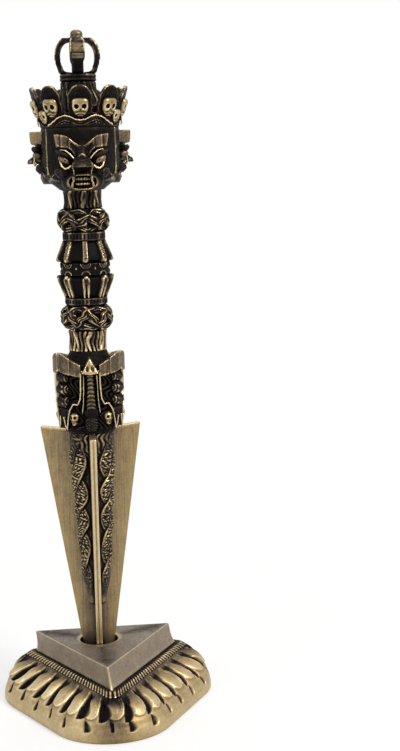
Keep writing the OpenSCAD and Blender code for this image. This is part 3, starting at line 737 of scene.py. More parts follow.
def make_plinth():
    rings, rub = [], []
    for up in np.linspace(0, 1, 16):
        flare = 2.1 * (1 - WALL_TALL * up / (PLINTH_TOP - SKIRT_TOP)) ** 3
        rings.append(plinth_ring(PLINTH_CORNER + flare, SKIRT_TOP + 0.02 + WALL_TALL * up))
        rub.append(0.54 + 0.14 * hump(up, 0.2, 0.1))
    for inward, height, shine in TOP_EDGE:
        rings.append(plinth_ring(PLINTH_CORNER - inward, height))
        rub.append(shine)
    bright_corners = slice(0, len(rings) - 3)
    edge = rings[-1]
    mouth = circle_ring(edge, SOCKET_RADIUS + MOUTH_EDGE, PLINTH_TOP)
    for share in (0.12, 0.3, 0.5, 0.7, 0.88, 1.0):
        rings.append(edge + (mouth - edge) * share)
        rub.append(0.46 if share < 1 else 0.7)
    dull_corners = slice(len(rings) - 6, len(rings) - 1)
    for wider, height, shine in MOUTH:
        rings.append(circle_ring(edge, SOCKET_RADIUS + wider, height))
        rub.append(shine)
    rings.append(circle_ring(edge, SOCKET_RADIUS + 1, SKIRT_TOP + 0.02))
    rub.append(0.0)
    spread = np.array(rub)[:, None] * np.ones(PLINTH_COLUMNS)
    spread[bright_corners] += 0.25 * by_corner(even_walk(PLINTH_COLUMNS), 0.012)
    spread[dull_corners] -= 0.2 * by_corner(even_walk(PLINTH_COLUMNS), 0.16)
    return lofted("stand_plinth", rings, np.clip(spread, 0, 1), plinth_brass, "stand")


make_plinth()

# %% [markdown]
# The blade is three fins at 120 degrees that taper to a short point. Each fin's edge is a flat bar with a
# shallow groove filed along it, so that it reads as two bright lines. The section of the three fins is
# drawn once and stacked, with closer sections at the point and at the filed top edge.

# %% Blade
BLADE_TIP, BLADE_TOP = 2.1, 94.6
POINT_TOP = 13.1
FIN_HALF = 1.0
FILED = 0.85
POINT_STAIN = 24.5


def fin_reach(height):
    """Distance from the axis to the fins' edges."""
    return np.interp(
        height,
        [BLADE_TIP, BLADE_TIP + 0.15, BLADE_TIP + 3.1, BLADE_TIP + 7, POINT_TOP, BLADE_TOP],
        [0.2, 0.6, 2.05, 3.65, 4.6, 19.2],
    )


def fin_half_section(reach, half, bevel, groove, stain):
    """One side of a fin, from the valley out to the middle of its edge: out, sideways and rub.

    Stain is how dark the patina was left near the valley.
    """
    start = half / math.tan(math.radians(60))
    side = [
        (start + (reach - bevel - start) * s, half, 0.36 + 0.22 * s - stain * math.exp(-(s / 0.32) ** 2))
        for s in (0, 0.06, 0.15, 0.3, 0.45, 0.6, 0.75, 0.88, 0.96, 1.0)
    ]
    edge = [
        (reach - 0.3 * bevel, half - 0.3 * bevel, 1.0), (reach, half - bevel, 1.0),
        (reach, 0.62 * half, 0.78), (reach, 0.34 * half, 0.95),
        (reach - groove, 0.2 * half, 0.55), (reach - groove, 0.0, 0.62),
    ]
    return side + edge


def blade_ring(height, shrink=0.0):
    reach = float(fin_reach(height)) - shrink
    half = min(FIN_HALF, 0.45 * reach) - shrink
    deep = 0.3 * float(np.interp(height, [POINT_TOP, POINT_TOP + 6, 88, 93], [0, 1, 1, 0]))
    stain = 0.08 + 0.3 * math.exp(-((height - BLADE_TOP) / 9) ** 2)
    one_side = fin_half_section(reach, half, min(0.28, 0.4 * half), deep, stain)
    section = [(out, -side, shine) for out, side, shine in one_side] + one_side[-2:0:-1]
    ring, rub = [], []
    for front in (FRONT, FRONT + 120, FRONT + 240):
        cos, sin = math.cos(math.radians(front)), math.sin(math.radians(front))
        ring += [(out * cos - side * sin, out * sin + side * cos, height) for out, side, shine in section]
        rub += [shine for out, side, shine in section]
    return ring, rub


def make_blade():
    heights = [*np.linspace(BLADE_TIP, POINT_TOP, 16), *np.linspace(POINT_TOP + 0.5, BLADE_TOP - 0.3, 110)]
    sections = [blade_ring(height) for height in heights]
    sections += [blade_ring(BLADE_TOP - 0.08, 0.08), blade_ring(BLADE_TOP, 0.28)]
    rings = [ring for ring, rub in sections]
    rub = np.array([rub for ring, rub in sections])
    rub[-3] = np.maximum(rub[-3], 0.7)
    rub[-2:] = FILED
    level = np.array(heights + [BLADE_TOP, BLADE_TOP])
    rub -= 0.3 * share_of(level, POINT_STAIN, POINT_STAIN - 8)[:, None] * (rub < FILED)
    return lofted("blade", rings, np.clip(rub, 0, 1), blade_brass, "phurba")


make_blade()

# %% [markdown]
# Two serpents wind round each other in every valley between the fins, from the makaras down, and fade out
# above the point. Each was laid on as a flat cord, chased with small scales between two raised rims, and
# where it passes under its partner it is pressed back. Nothing here was ever rubbed much, so only rims and
# scale edges show metal.

# %% Serpents
SERPENT_FOOT = 34.1
SERPENT_BACK = (4.6, 8.6)
SERPENT_DEEP = 1.75
SERPENT_STEP = 0.26
CROSSINGS = 6
ROOTS_FROM, ROOTS_TO = 85, 90


def serpent(wax, share, rise, way):
    """Height of one serpent over its bed, how far inside it a point lies, and 1 where it is on top."""
    phase = math.pi * CROSSINGS * rise + 0.3 * np.sin(11 * rise + share)
    off = (share - 0.38 * way * np.cos(phase)) / (0.52 - 0.06 * rise)
    inside = np.clip(1 - np.abs(off), 0, 1)
    body = np.sqrt(np.clip(1 - np.abs(off) ** 3, 0, 1))
    over = 0.5 - 0.5 * way * np.sin(phase)
    across = off * 1.5
    row = wax.z / 1.3 + 0.3 * np.sin(2.3 * wax.z + 4 * share) + 0.5 * way * across
    scales = np.cos(2 * np.pi * row) * np.cos(2 * np.pi * (0.62 * across + 0.3 * np.sin(1.7 * wax.z)))
    rim = hump(inside, 0.16, 0.09)
    relief = body * (0.42 + 0.58 * over) + 0.13 * rim + 0.2 * scales * np.clip((inside - 0.24) / 0.1, 0, 1)
    return relief, inside, over


def pressed(relief, over, other_inside):
    """The lower serpent beside its partner, with a dark gap along the partner's outline."""
    gap = np.clip(other_inside / 0.1, 0, 1) * np.clip(2 - other_inside / 0.16, 0, 1)
    return relief * (1 - 0.8 * gap * np.clip(2 - 4 * over, 0, 1))


def make_serpents():
    wax = Wax((-9.4, -9.4, SERPENT_FOOT - 0.6), (9.4, 9.4, BLADE_TOP + 0.4), SERPENT_STEP)
    out, side = wax.facing(3, FRONT + 60)
    turn = np.arctan2(side, out)
    rise = share_of(wax.z, SERPENT_FOOT, BLADE_TOP)
    back = SERPENT_BACK[0] + (SERPENT_BACK[1] - SERPENT_BACK[0]) * rise - 1.3 * np.clip(1 - rise / 0.15, 0, 1)
    share = turn / (math.radians(60) - np.arcsin(FIN_HALF / back))
    deep = SERPENT_DEEP * back / SERPENT_BACK[1]
    first, inside_first, over_first = serpent(wax, share, rise, 1)
    second, inside_second, over_second = serpent(wax, share, rise, -1)
    first = pressed(first, over_first, inside_second)
    second = pressed(second, over_second, inside_first)
    root_zone = share_of(wax.z, ROOTS_FROM, ROOTS_TO)
    ripples = share * 3.5 + 0.7 * np.sin(wax.z * 0.5) + 0.3 * np.sin(wax.z * 1.3)
    roots = wave(ripples) ** 0.7 * (0.12 + 0.3 * root_zone)
    fade = np.clip((wax.z - SERPENT_FOOT) / 14, 0.2, 1)
    relief = np.maximum(np.maximum(first, second) * fade * (1 - 0.5 * root_zone), roots)
    clear = out * math.sin(math.radians(60)) - np.abs(side) * math.cos(math.radians(60))
    shape = common(0.85 * (wax.r - (back - deep * (1 - relief))), FIN_HALF + 0.02 - clear, 2.3 - wax.r)
    wax.add("naga_serpents", common(shape, between(wax.z, SERPENT_FOOT, BLADE_TOP)), tone=0.12)
    wax.leave_room(clear - FIN_HALF)
    wax.leave_room(-between(wax.z, SERPENT_FOOT, BLADE_TOP))
    cast(wax)


make_serpents()

# %% [markdown]
# The handle is a stack of small castings on the blade's tang. Two necks of wavy cords, two plaited knots,
# two ribbed rings and, between them, the grip: two halves of eight flat ribs over dark panels, parted by a
# waist of cups, arches and beads.

# %% Handle: shared shapes
MAKARA_TOP, LOWER_KNOT, LOWER_RING, LOWER_GRIP = 121.5, 128.2, 136.8, 139.1
WAIST, UPPER_GRIP, UPPER_RING, UPPER_KNOT = 146.6, 150.6, 157.8, 160.5
UPPER_NECK, FACE_FOOT = 168.1, 174.0
RIBS, BEAD_RIBS = 8, 36
PLAIT_TURNS = 7 / 3


def cut_to(wax, shape, low, high):
    """The part of a shape between two heights."""
    return common(shape, between(wax.z, low, high))


def neck(wax, low, high, shift):
    """Thin upright cords side by side, with a few thicker ones that wander over them."""
    middle = np.abs(wax.z - (low + high) / 2) / (high - low) * 2
    flare = 0.35 * middle ** 2
    under = wax.strands(26, 5.35 + flare, 0.55, 0.05, 0.95, shift)
    over = wax.strands(8, 5.6 + flare, 0.6, 0.13, 0.7, shift + 0.4)
    core = wax.r - 5.1 - flare
    return cut_to(wax, join(0.12, core, under, over), low, high)


def plait(wax, low, high, shift):
    """One cord plaited with itself round a barrel: straps of three lines that dive deep at each crossing."""
    middle, tall = (low + high) / 2, (high - low) / 2
    turn = wax.angle - math.radians(FRONT) + 0.05 * np.sin(2.1 * wax.z + 3 * wax.angle)
    height = wax.z + 0.3 * np.sin(5 * wax.angle + shift) + 0.18 * np.sin(11 * wax.angle + wax.z)
    sweep = tall - 1.35
    straps = []
    for k in range(3):
        phase = PLAIT_TURNS * turn + shift + 2 * np.pi * k / 3
        lean = np.cos(np.arctan(sweep * PLAIT_TURNS / 7.6 * np.cos(phase)))
        across = (height - middle - sweep * np.sin(phase)) * lean
        level = 6.75 + 0.95 * np.cos(2 * phase)
        line = 0.2 * np.cos(2 * np.pi * across / 0.86)
        thick = 0.95 + line - 0.22 * across ** 2
        straps.append(0.8 * np.maximum(np.abs(across) - 1.4, np.abs(wax.r - level) - thick))
    barrel = profile(wax.z, [low, low + 1.2, middle, high - 1.2, high], [5.8, 6.1, 6.2, 6.1, 5.8])
    return cut_to(wax, either(wax.r - barrel, *straps), low, high)


def bead_ring(wax, low, high):
    """Fine upright ribs between two thin rims."""
    ribs = wax.r - 6.55 - 0.5 * wave(wax.angle / (2 * np.pi) * BEAD_RIBS) ** 0.6
    half, from_middle = (high - low) / 2, np.abs(wax.z - (low + high) / 2)
    rims = np.hypot(wax.r - 6.75, between(wax.z, low + 0.28, high - 0.28).clip(0)) - 0.26
    rims = common(rims, half - 0.5 - from_middle)
    return cut_to(wax, either(ribs + 0.35 * (from_middle / half) ** 4, rims), low, high)


# %% [markdown]
# Each rib of the grip is a flat bar with crisp edges, proud of a hollow panel with faint upright flutes.
# The upper ribs end in a small knuckle over a cup, and the lower ones split into two legs towards the ring
# below.

# %% Handle: grip and waist


def grip_half(wax, low, high, is_lower):
    """One half of the grip, and the part of it that was polished. It swells towards the waist."""
    out, side = wax.facing(RIBS)
    side = np.abs(side)
    share = (wax.z - low) / (high - low) if is_lower else (high - wax.z) / (high - low)
    reach = profile(share, [0, 0.74, 0.86, 1], [7.0, 9.15, 9.2, 8.0])
    half = profile(share, [0, 0.2, 0.8, 1], [0.8, 0.95, 1.2, 0.8] if is_lower else [0.7, 0.72, 0.8, 0.95])
    rib = common(side - half, out - reach)
    if is_lower:
        notch = side - profile(share, [0, 0.62, 0.7], [0.42, 0.1, -0.6])
        rib = carve(rib, np.maximum(notch, reach - 1.3 - out), 0.1)
        knob = ball(out - 8.7, side, wax.z - (high - 0.75), 0.75)
    else:
        crease = np.maximum(np.abs(side - 0.42) - 0.09, reach - 0.16 - out)
        rib = carve(rib, crease, 0.05)
        knob = ball(out - 8.75, side, wax.z - (low + 0.9), 0.72)
    between_out, between_side = wax.facing(RIBS, FRONT + 180 / RIBS)
    flutes = 0.04 * np.cos(between_side * 2 * np.pi / 0.62)
    panel = between_out - (reach * 0.925 - 1.25 + 0.05 * between_side ** 2) - flutes
    rim = np.maximum(np.abs(side - half) - 0.16, out - reach + 0.5)
    bright = join(0.1, rib, knob)
    shape = join(0.12, bright, panel, rim)
    return cut_to(wax, shape, low, high), bright


def waist(wax):
    """A dark ring with a double cup under each upper rib, an arch over each lower one, and beads between."""
    out, side = wax.facing(RIBS)
    bead_out, bead_side = wax.facing(RIBS, FRONT + 180 / RIBS)
    core = wax.r - (7.9 + 0.1 * np.cos((wax.z - WAIST) * 2 * np.pi / 1.3))
    from_cup = np.hypot(side, wax.z - 150.75)
    cup = np.minimum(np.hypot(from_cup - 1.7, out - 8.05), np.hypot(from_cup - 1.05, out - 8.1)) - 0.2
    cup = np.maximum(cup, wax.z - 150.4)
    arch = np.hypot(np.hypot(side, wax.z - 146.5) - 1.4, out - 8.05) - 0.2
    arch = np.maximum(arch, 146.7 - wax.z)
    bead = ball(bead_out - 7.85, bead_side, wax.z - 148.8, 0.45)
    bright = join(0.1, cup, arch, bead)
    return cut_to(wax, join(0.1, core, bright), WAIST, UPPER_GRIP), bright


def make_handle():
    wax = Wax((-9.8, -9.8, MAKARA_TOP - 0.4), (9.8, 9.8, FACE_FOOT + 0.4), FINE_STEP)
    lower, lower_bright = grip_half(wax, LOWER_GRIP, WAIST, True)
    upper, upper_bright = grip_half(wax, UPPER_GRIP, UPPER_RING, False)
    middle, middle_bright = waist(wax)
    wax.add("lower_neck", neck(wax, MAKARA_TOP, LOWER_KNOT, 0.3), tone=-0.06)
    wax.add("lower_knot", plait(wax, LOWER_KNOT, LOWER_RING, 0.5), tone=-0.12)
    wax.add("lower_bead_ring", bead_ring(wax, LOWER_RING, LOWER_GRIP), tone=-0.12, wear=0.7)
    wax.add("lower_grip", lower, tone=-0.26, bright=lower_bright)
    wax.add("grip_waist_ring", middle, tone=-0.2, wear=0.6, bright=middle_bright + 0.06)
    wax.add("upper_grip", upper, tone=-0.26, bright=upper_bright)
    wax.add("upper_bead_ring", bead_ring(wax, UPPER_RING, UPPER_KNOT), tone=-0.12, wear=0.7)
    wax.add("upper_knot", plait(wax, UPPER_KNOT, UPPER_NECK, 2.2), tone=-0.14)
    wax.add("upper_neck", neck(wax, UPPER_NECK, FACE_FOOT, 1.1), tone=-0.14, wear=0.7)
    cast(wax)


make_handle()

# %% [markdown]
# Three makara heads carry the blade, one over each fin. Each has a bell-shaped nose, a trunk with rungs
# that ends in a wrinkled bulb, stepped brows like folded leaves, and jaws whose lips curl round a small
# skull. The heads share their drum, and scrolls of mane fill the corners between them. A place on a head is
# given as out from the axis, sideways from the head's middle, and height, so that both halves of all three
# are drawn at once.

# %% Makara heads
LINE_RADIUS = 11.6
LIP = (-0.2, 0.17)


def around(angle, radius, height):
    """A point on a head, from its angle sideways, its distance from the axis and its height."""
    turn = math.radians(angle)
    return radius * math.cos(turn), radius * math.sin(turn), height


def makara_trunk(out, side, z):
    """Nose, trunk and bulb, with the parts that were polished and those that were wiped."""
    centre = profile(z, [101, 104, 108, 114], [10.2, 10.5, 10.7, 10.2])
    half = profile(z, [101, 105, 110, 114], [1.7, 1.45, 1.2, 1.2])
    rungs = wave((z + 0.35 * side ** 2 - 104.6) / 1.32) ** 0.7
    trunk = np.hypot(side * 1.35 / half, out - centre) - 1.2 - 0.26 * rungs
    trunk = np.maximum(trunk, between(z, 101.0, 114.5))
    slope = (side - 0.56 * (119.6 - z)) * 0.87
    bulge = 11.4 + 0.9 * np.clip((119.6 - z) / 4.6, 0, 1)
    bell = common(slope, 115.2 - z, out - bulge, side - 2.5)
    groove = ball(out - 12.1, (side - 0.9) * 1.2, (z - 116.8) * 0.6, 0.65)
    nose = carve(bell - 0.2, groove, 0.2)
    lip = wire((out, side, z), [(12.3, 0, 114.9), (12.1, 1.4, 115.2), (11.6, 2.8, 115.9)], 0.28)
    bulb = egg(out - 9.9, side, z - 98.4, 2.45, 2.2, 2.9)
    bulb = bulb - 0.12 * np.cos(z * 2 * np.pi / 0.95 + 2 * np.cos(side * 3))
    bulb = bulb - 0.03 * np.cos(side * 2 * np.pi / 0.8)
    throat = egg(out - 9.8, side, z - 102.0, 1.9, 2.4, 2.2) - 0.1 * np.cos(side * 7) * np.cos(z * 6)
    ridges = np.maximum(trunk + 0.16 - 0.14 * rungs, 103.5 - z)
    return join(0.2, trunk, nose, lip, bulb, throat), either(nose + 0.08, lip, ridges), nose + 0.12


def ridge(wax, out, side, places, half, top):
    """A thin wall on the drum along a line of angles and heights, up to the given radius."""
    points = [around(angle, LINE_RADIUS, height) for angle, height in places]
    onto_drum = LINE_RADIUS / np.maximum(wax.r, 1)
    line = wire((out * onto_drum, side * onto_drum, wax.z), points, half)
    return common(line, wax.r - top, 8 - wax.r)


def makara_lips(wax, out, side):
    """The lines that run down beside the trunk, and the one that arches over the skull to the jaw."""
    top = profile(wax.z, [95, 98, 105, 110, 116], [11.0, 11.2, 11.5, 12.0, 11.9])
    down = [(15.5, 115.2), (16.0, 110), (18.0, 106.6), (23, 104.7)]
    arch = [(23, 104.7), (31, 104.9), (39, 102.6), (44, 99.2), (47.5, 96.2), (51, 97.4), (54.5, 100.2)]
    inner = [(11.0, 114.6), (11.8, 109), (13.4, 104.9), (16.0, 101.8)]
    beside = either(ridge(wax, out, side, down, 0.22, top), ridge(wax, out, side, inner, 0.16, top - 0.5))
    return beside, ridge(wax, out, side, arch, 0.22, top)


def leaf_plate(across, height, depth, start, end, low_tall, high_tall, face):
    """A leaf lying on the drum, with a raised lip and a cross rib: across runs along it."""
    share = share_of(across, start, end)
    half = low_tall + (high_tall - low_tall) * share ** 0.8
    half = half * np.sqrt(1 - share_of(share, 0.8, 1.0) ** 2 * 0.75)
    outline = common(np.abs(height) - half, between(across, start, end))
    return common(outline, depth - face - 0.3 * hump(outline, *LIP))


def makara_brows(wax, out, side, z):
    """Two folded leaves on each side of the nose, rising outward."""
    across = wax.r * np.arctan2(side, out)
    height = z - (115.9 + 0.30 * (across - 3.5))
    inner = leaf_plate(across, height, wax.r, 3.2, 7.3, 1.9, 2.6, 11.35)
    outer = leaf_plate(across, height - 0.2, wax.r, 7.1, 12.2, 2.7, 3.3, 11.7)
    creases = 0.112 * hump(across, 5.2, 0.3) + 0.128 * hump(across, 9.3, 0.35)
    return common(either(inner, outer) - creases, 8.2 - wax.r) - 0.05


def small_skull(out, side, z, angle, radius, height, size):
    """A skull that faces outward at an angle on the drum, with hollow eyes and a narrow jaw."""
    turn = math.radians(angle)
    ahead = out * math.cos(turn) + side * math.sin(turn) - radius
    across = side * math.cos(turn) - out * math.sin(turn)
    up = z - height
    dome = egg(ahead, across, up, 0.95 * size, 0.9 * size, 0.95 * size)
    jaw = egg(ahead - 0.15 * size, across, up + 0.85 * size, 0.6 * size, 0.55 * size, 0.6 * size)
    head = join(0.25, dome, jaw)
    eyes = ball(ahead - 0.85 * size, np.abs(across) - 0.38 * size, up + 0.02 * size, 0.3 * size)
    mouth = egg(ahead - 0.8 * size, across, up + 1.0 * size, 0.3 * size, 0.32 * size, 0.1 * size)
    return carve(carve(head, eyes, 0.1), mouth, 0.08)


def manes(wax):
    """Stacked scrolls in the corners between the heads, each wound like a snail, and the hair behind them."""
    out, side = wax.facing(3, FRONT + 60)
    scrolls = []
    for centre, size in ((105.4, 2.1), (109.4, 2.25), (113.2, 2.0)):
        ring = np.hypot(out - 9.9, wax.z - centre)
        turn = np.arctan2(wax.z - centre, out - 9.9) / (2 * np.pi)
        coil = wave(ring / 0.85 - turn) * 0.45
        leafy = size - 0.3 * wave(turn * 7 + 0.2 * side)
        scrolls.append(common(ring - leafy, np.abs(side) - 2.7 + 0.26 * ring ** 2 - coil))
    tuft = cut_to(wax, wax.strands(30, 9.6, 0.75, 0.2, 0.8, 0.2), 96, 118)
    return join(0.15, *scrolls), tuft


def make_makaras():
    wax = Wax((-13.2, -13.2, BLADE_TOP - 0.4), (13.2, 13.2, MAKARA_TOP + 0.4), FINE_STEP)
    out, side = wax.facing(3)
    side = np.abs(side)
    z = wax.z
    drum_radius = profile(z, [BLADE_TOP, 97, 112, 116.5, 119, MAKARA_TOP], [8.4, 8.5, 8.6, 8.3, 7.0, 6.0])
    hair = 0.1 * np.cos(wax.angle * 54 + 1.6 * np.sin(z * 0.8))
    hair = hair + 0.06 * np.cos(z * 2 * np.pi / 1.7 + 5 * wax.angle)
    drum = wax.r - drum_radius - hair
    trunk, trunk_bright, nose = makara_trunk(out, side, z)
    beside, jaw = makara_lips(wax, out, side)
    brows = makara_brows(wax, out, side, z)
    skulls = small_skull(out, side, z, 33, 9.6, 100.3, 2.0)
    scrolls, tuft = manes(wax)
    web = common(wax.r - 10.4, between(wax.r * np.arctan2(side, out), 8.0, 12.6))
    web = cut_to(wax, web - 0.08 * np.cos(wax.angle * 60), 96.2, 102.8)
    for name, shape, looks in (
        ("makara_drum", either(drum, tuft + 0.1), {"tone": -0.12, "wear": 0.35}),
        ("makara_trunks", either(trunk, beside),
         {"tone": -0.12, "wear": 0.7, "bright": either(trunk_bright, beside), "panel": nose}),
        ("makara_brows", brows, {"tone": -0.05, "wear": 0.6, "panel": brows + 0.07}),
        ("makara_skulls", skulls, {"tone": -0.05, "wear": 0.8, "bright": skulls + 0.05}),
        ("makara_jaws", either(jaw, web), {"tone": -0.14, "wear": 0.7, "bright": jaw}),
        ("makara_manes", scrolls, {"tone": -0.08, "wear": 0.7}),
    ):
        wax.add(name, cut_to(wax, shape, BLADE_TOP, MAKARA_TOP), **looks)
    cast(wax)


make_makaras()

# %% [markdown]
# The head is round, with three wrathful faces that look to the front and to both sides behind. Their brows
# are stepped plates like spread wings, the eyes bulge between thin lids, the nose is a broad wedge with a
# sharp lower edge, and the open mouth bares two rows of teeth with fangs. A ridge runs down each seam
# between two faces. Cheeks and foreheads are almost black, so the polished lines alone carry the
# expression.

# %% Faces
CROWN_FOOT, CORE_TOP = 194.0, 198.4
CHIN = ([174, 175.2, 176.3, 177.8, 179.4, 181.5], [7.1, 8.5, 10.0, 11.3, 12.1, 12.6])
BROW_TOP = ([0, 1.2, 2.4, 3.7, 5.0, 6.5, 8.5], [188.1, 188.5, 189.4, 190.4, 191.3, 191.6, 191.8])
BROW_FOOT = ([0, 2.2, 2.6, 3.3, 4.4, 6.0, 7.8], [184.8, 184.8, 185.8, 186.7, 187.5, 187.6, 187.9])
UPPER_LID = [
    (15.0, 2.6, 184.2), (14.7, 3.9, 185.7), (14.4, 5.1, 186.7), (13.9, 6.5, 187.0), (13.2, 7.4, 186.3),
]
LOWER_LID = [
    (14.7, 3.7, 181.9), (14.4, 4.4, 181.3), (14.2, 5.4, 181.0), (13.8, 6.4, 181.8), (13.2, 7.0, 183.4),
]
BROW_STEPS = ([0, 1.5, 3.9, 4.1, 6.5, 6.7, 8.2], [14.8, 14.9, 15.7, 15.0, 15.9, 15.3, 16.2])


def face_ground(out, side, z, lift):
    """The bare head with crinkled cheeks. Its chin tucks in towards the neck, under a low muzzle."""
    radius = profile(z, *CHIN)
    muzzle = egg(out - 9.6, side, z - 177.2 - 2 * lift, 3.9, 5.0, 2.6)
    cheek = egg(out - 10.4, side - 6.2, z - 179.9 - lift, 2.7, 2.6, 1.9)
    around = np.arctan2(side, out) * radius
    crinkle = np.sin(3.1 * z + 2.3 * np.sin(1.7 * around)) * np.sin(2.7 * around + 1.9 * np.sin(2.1 * z))
    crinkle = 0.13 * crinkle * share_of(z, 188, 186) * share_of(side, 4, 6)
    return join(0.8, np.hypot(out, side) - radius, muzzle, cheek) - crinkle


def face_brows(out, side, z):
    """A wing on each side of the nose, in three steps that rise outward, and the wiped part of each step."""
    top, foot = profile(side, *BROW_TOP), profile(side, *BROW_FOOT)
    outline = common(z - top, foot - z, side - 8.2 - 0.16 * (z - 189.5))
    crease = (z - 186.5 - 0.92 * side) * 0.74
    fold = 0.25 * hump(crease, 0, 0.2) - 0.35 * (crease < 0)
    surface = profile(side, *BROW_STEPS) + 0.24 * hump(outline, *LIP) + fold * (side < 3.9)
    wing = common(outline, np.hypot(out, side) - surface)
    inward = np.where(side < 4, 4 - side, np.where(side < 6.6, 6.6 - side, 8.2 - side))
    return wing, wing + 0.02 + 0.05 * inward + 0.3 * (crease < -0.3) * (side < 3.7)


def face_eyes(out, side, z):
    """Slanting eyeballs between an arched upper lid and a sagging lower one."""
    slant = z - 183.7 - 0.4 * (side - 5.6)
    eyeball = egg(out - 12.6, side - 5.6, slant, 1.9, 2.0, 1.3)
    pupil = ball(out - 14.6, side - 5.4, z - 183.5, 0.45)
    hood = egg(out - 12.9, side - 5.6, slant - 1.9, 1.7, 2.7, 1.0)
    lids = either(wire((out, side, z), UPPER_LID, 0.25), wire((out, side, z), LOWER_LID, 0.3))
    return carve(eyeball, pupil, 0.1), hood, lids


def face_nose(out, side, z):
    """A wedge that widens downward to a sharp edge over a dark lip, and the folds of the frown above it."""
    place = (out, side, z)
    half = profile(z, [181.5, 182.7, 185.2, 187.0], [3.3, 3.1, 1.5, 1.9])
    slope = (out - 15.2) * 0.633 + (z - 185.1) * 0.774
    wedge = common(slope, side - half, 181.55 - z, out - 18.2)
    edge = wire(place, [(18.1, 0, 181.9), (17.8, 2.0, 181.85), (17.0, 3.2, 182.3)], 0.27)
    frown = wire(place, [(16.1, 0, 185.6), (15.9, 0.8, 185.0), (15.6, 1.7, 184.1)], 0.2)
    bead = ball(out - 16.9, side, z - 183.3, 0.45)
    fold = wire(place, [(15.9, 3.2, 181.4), (14.7, 2.8, 180.3), (13.9, 2.8, 179.0)], 0.18)
    bridge = rod(place, (13.4, 0, 187.8), (14.6, 0, 184.0), 1.5, 1.9)
    return join(0.3, wedge - 0.1, bridge), either(edge, frown, bead, fold)


def face_mouth(out, side, z):
    """A wide grimace: a thin lip round a deep hollow with two rows of teeth and four fangs."""
    place = (out, side, z)
    front = 14.0 - 0.09 * side ** 2
    square = 2.4
    loop = (((side / 4.8) ** square + (np.abs(z - 176.75) / 2.25) ** square) ** (1 / square) - 1) * 2.0
    muzzle = join(0.5, common(loop - 0.8, out - front + 0.3), common(loop - 0.2, out - front))
    hollow = common(loop + 0.2, front - 2.6 - out)
    lip = np.hypot(loop, out - front) - 0.13
    gaps = 0.35 * wave(side / 0.95 + 0.5) ** 0.5
    teeth = []
    for height, half, wide in ((177.8, 0.5, 2.4), (176.1, 0.45, 2.3)):
        teeth.append(common(np.abs(z - height) - half, side - wide, out - front + 0.7 + gaps))
    fangs = either(
        rod(place, (13.2, 2.9, 178.2), (13.4, 2.9, 177.0), 0.5, 0.3),
        rod(place, (13.0, 3.3, 175.6), (13.2, 3.2, 176.7), 0.48, 0.28),
    )
    return muzzle, hollow, either(lip, fangs), join(0.08, *teeth)


def face_lines(out, side, z, ground):
    """The ridge on the seam between two faces, the jaw's edge, and whiskers that curl over the cheek."""
    place = (out, side, z)
    seam = wire(place, [(6.3, 10.9, 193.8), (6.4, 11.1, 188), (6.4, 11.0, 181.5), (6.6, 10.6, 179.2)], 0.24)
    edge = z - profile(side, [4.6, 6.5, 9.3, 10.8], [176.6, 176.9, 177.5, 179.4])
    jaw = common(np.hypot(ground, 0.8 * edge) - 0.2, 4.6 - side)
    curl = wire(place, [(8.4, 9.5, 178.6), (9.4, 8.6, 179.8), (11.2, 7.0, 180.2), (12.4, 5.8, 179.4)], 0.2)
    return either(seam, jaw), curl


def one_face(out, side, level, lift=0.0):
    """The whole face, its polished lines and its wiped panels. A lifted face has its mouth lifted twice."""
    z = level - lift
    socket = egg(out - 13.0, side - 5.6, z - 183.6, 1.4, 2.9, 2.5)
    eyeball, hood, lids = face_eyes(out, side, z)
    nose, nose_lines = face_nose(out, side, z)
    brows, brow_panel = face_brows(out, side, z)
    muzzle, hollow, lip, teeth = face_mouth(out, side, z - lift)
    ground = face_ground(out, side, level, lift)
    seam, curl = face_lines(out, side, level, ground)
    shape = join(0.5, carve(ground, socket, 0.4), nose, hood, muzzle)
    shape = either(carve(shape, hollow, 0.1), brows)
    lines = either(lids, lip + 0.16, seam + 0.05, nose_lines)
    shape = either(join(0.12, shape, lines, lip, curl), eyeball, teeth)
    return shape, either(lines, teeth + 0.08, eyeball + 0.05), brow_panel


# %% [markdown]
# The two side faces were set a little higher than the front one, and their mouths higher still. A band with
# a thin rope along its wavy upper edge lies over each forehead. Behind it rises the crown: nine tall leaves
# that lean outward, a low one over each seam between two faces, and a skull on every leaf. A leaf is drawn
# in its own plane, with up, sideways and ahead measured on it, so that the lean needs no thought.

# %% Crown, skulls and headbands
LEAN = math.radians(20)
SIDE_LIFT = 1.2
CROWN_RADIUS = 11.8
CROWN_TOP = 208.0
ROPE = [
    (13.4, 0, 196.1), (13.3, 1.6, 196.3), (13.0, 3.3, 197.2), (12.5, 5.0, 197.6), (11.6, 7.0, 197.0),
    (10.3, 9.0, 195.4), (9.4, 10.2, 194.6),
]


def on_leaf(out, z):
    """Distance up a leaf from the ring's foot, and in front of its face."""
    up = (z - CROWN_FOOT) * math.cos(LEAN) + (out - CROWN_RADIUS) * math.sin(LEAN)
    ahead = (out - CROWN_RADIUS) * math.cos(LEAN) - (z - CROWN_FOOT) * math.sin(LEAN)
    return up, ahead


def crown_leaf(out, side, z, tall, half):
    """A rounded leaf with a thin raised lip, a few arches near its tip and flutes beside the skull."""
    up, ahead = on_leaf(out, z)
    side = np.abs(side)
    rounding = np.clip((up - (tall - half)) / half, 0, 1)
    width = half * (0.95 + 0.05 * np.cos(2 * np.pi * (up - tall) / 3.4)) * np.sqrt(1 - 0.95 * rounding ** 2)
    outline = common(side - width, between(up, 0.0, tall))
    flutes = 0.07 * np.cos(2 * np.pi * outline / 1.1) + 0.02 * np.cos(2 * np.pi * up / 0.7)
    swell = 0.3 * np.clip(-outline / 2.5, 0, 1)
    front = -0.6 + 0.2 * hump(outline, *LIP) + flutes * (outline < -0.6) + swell
    return common(outline, ahead - front, -1.5 - ahead)


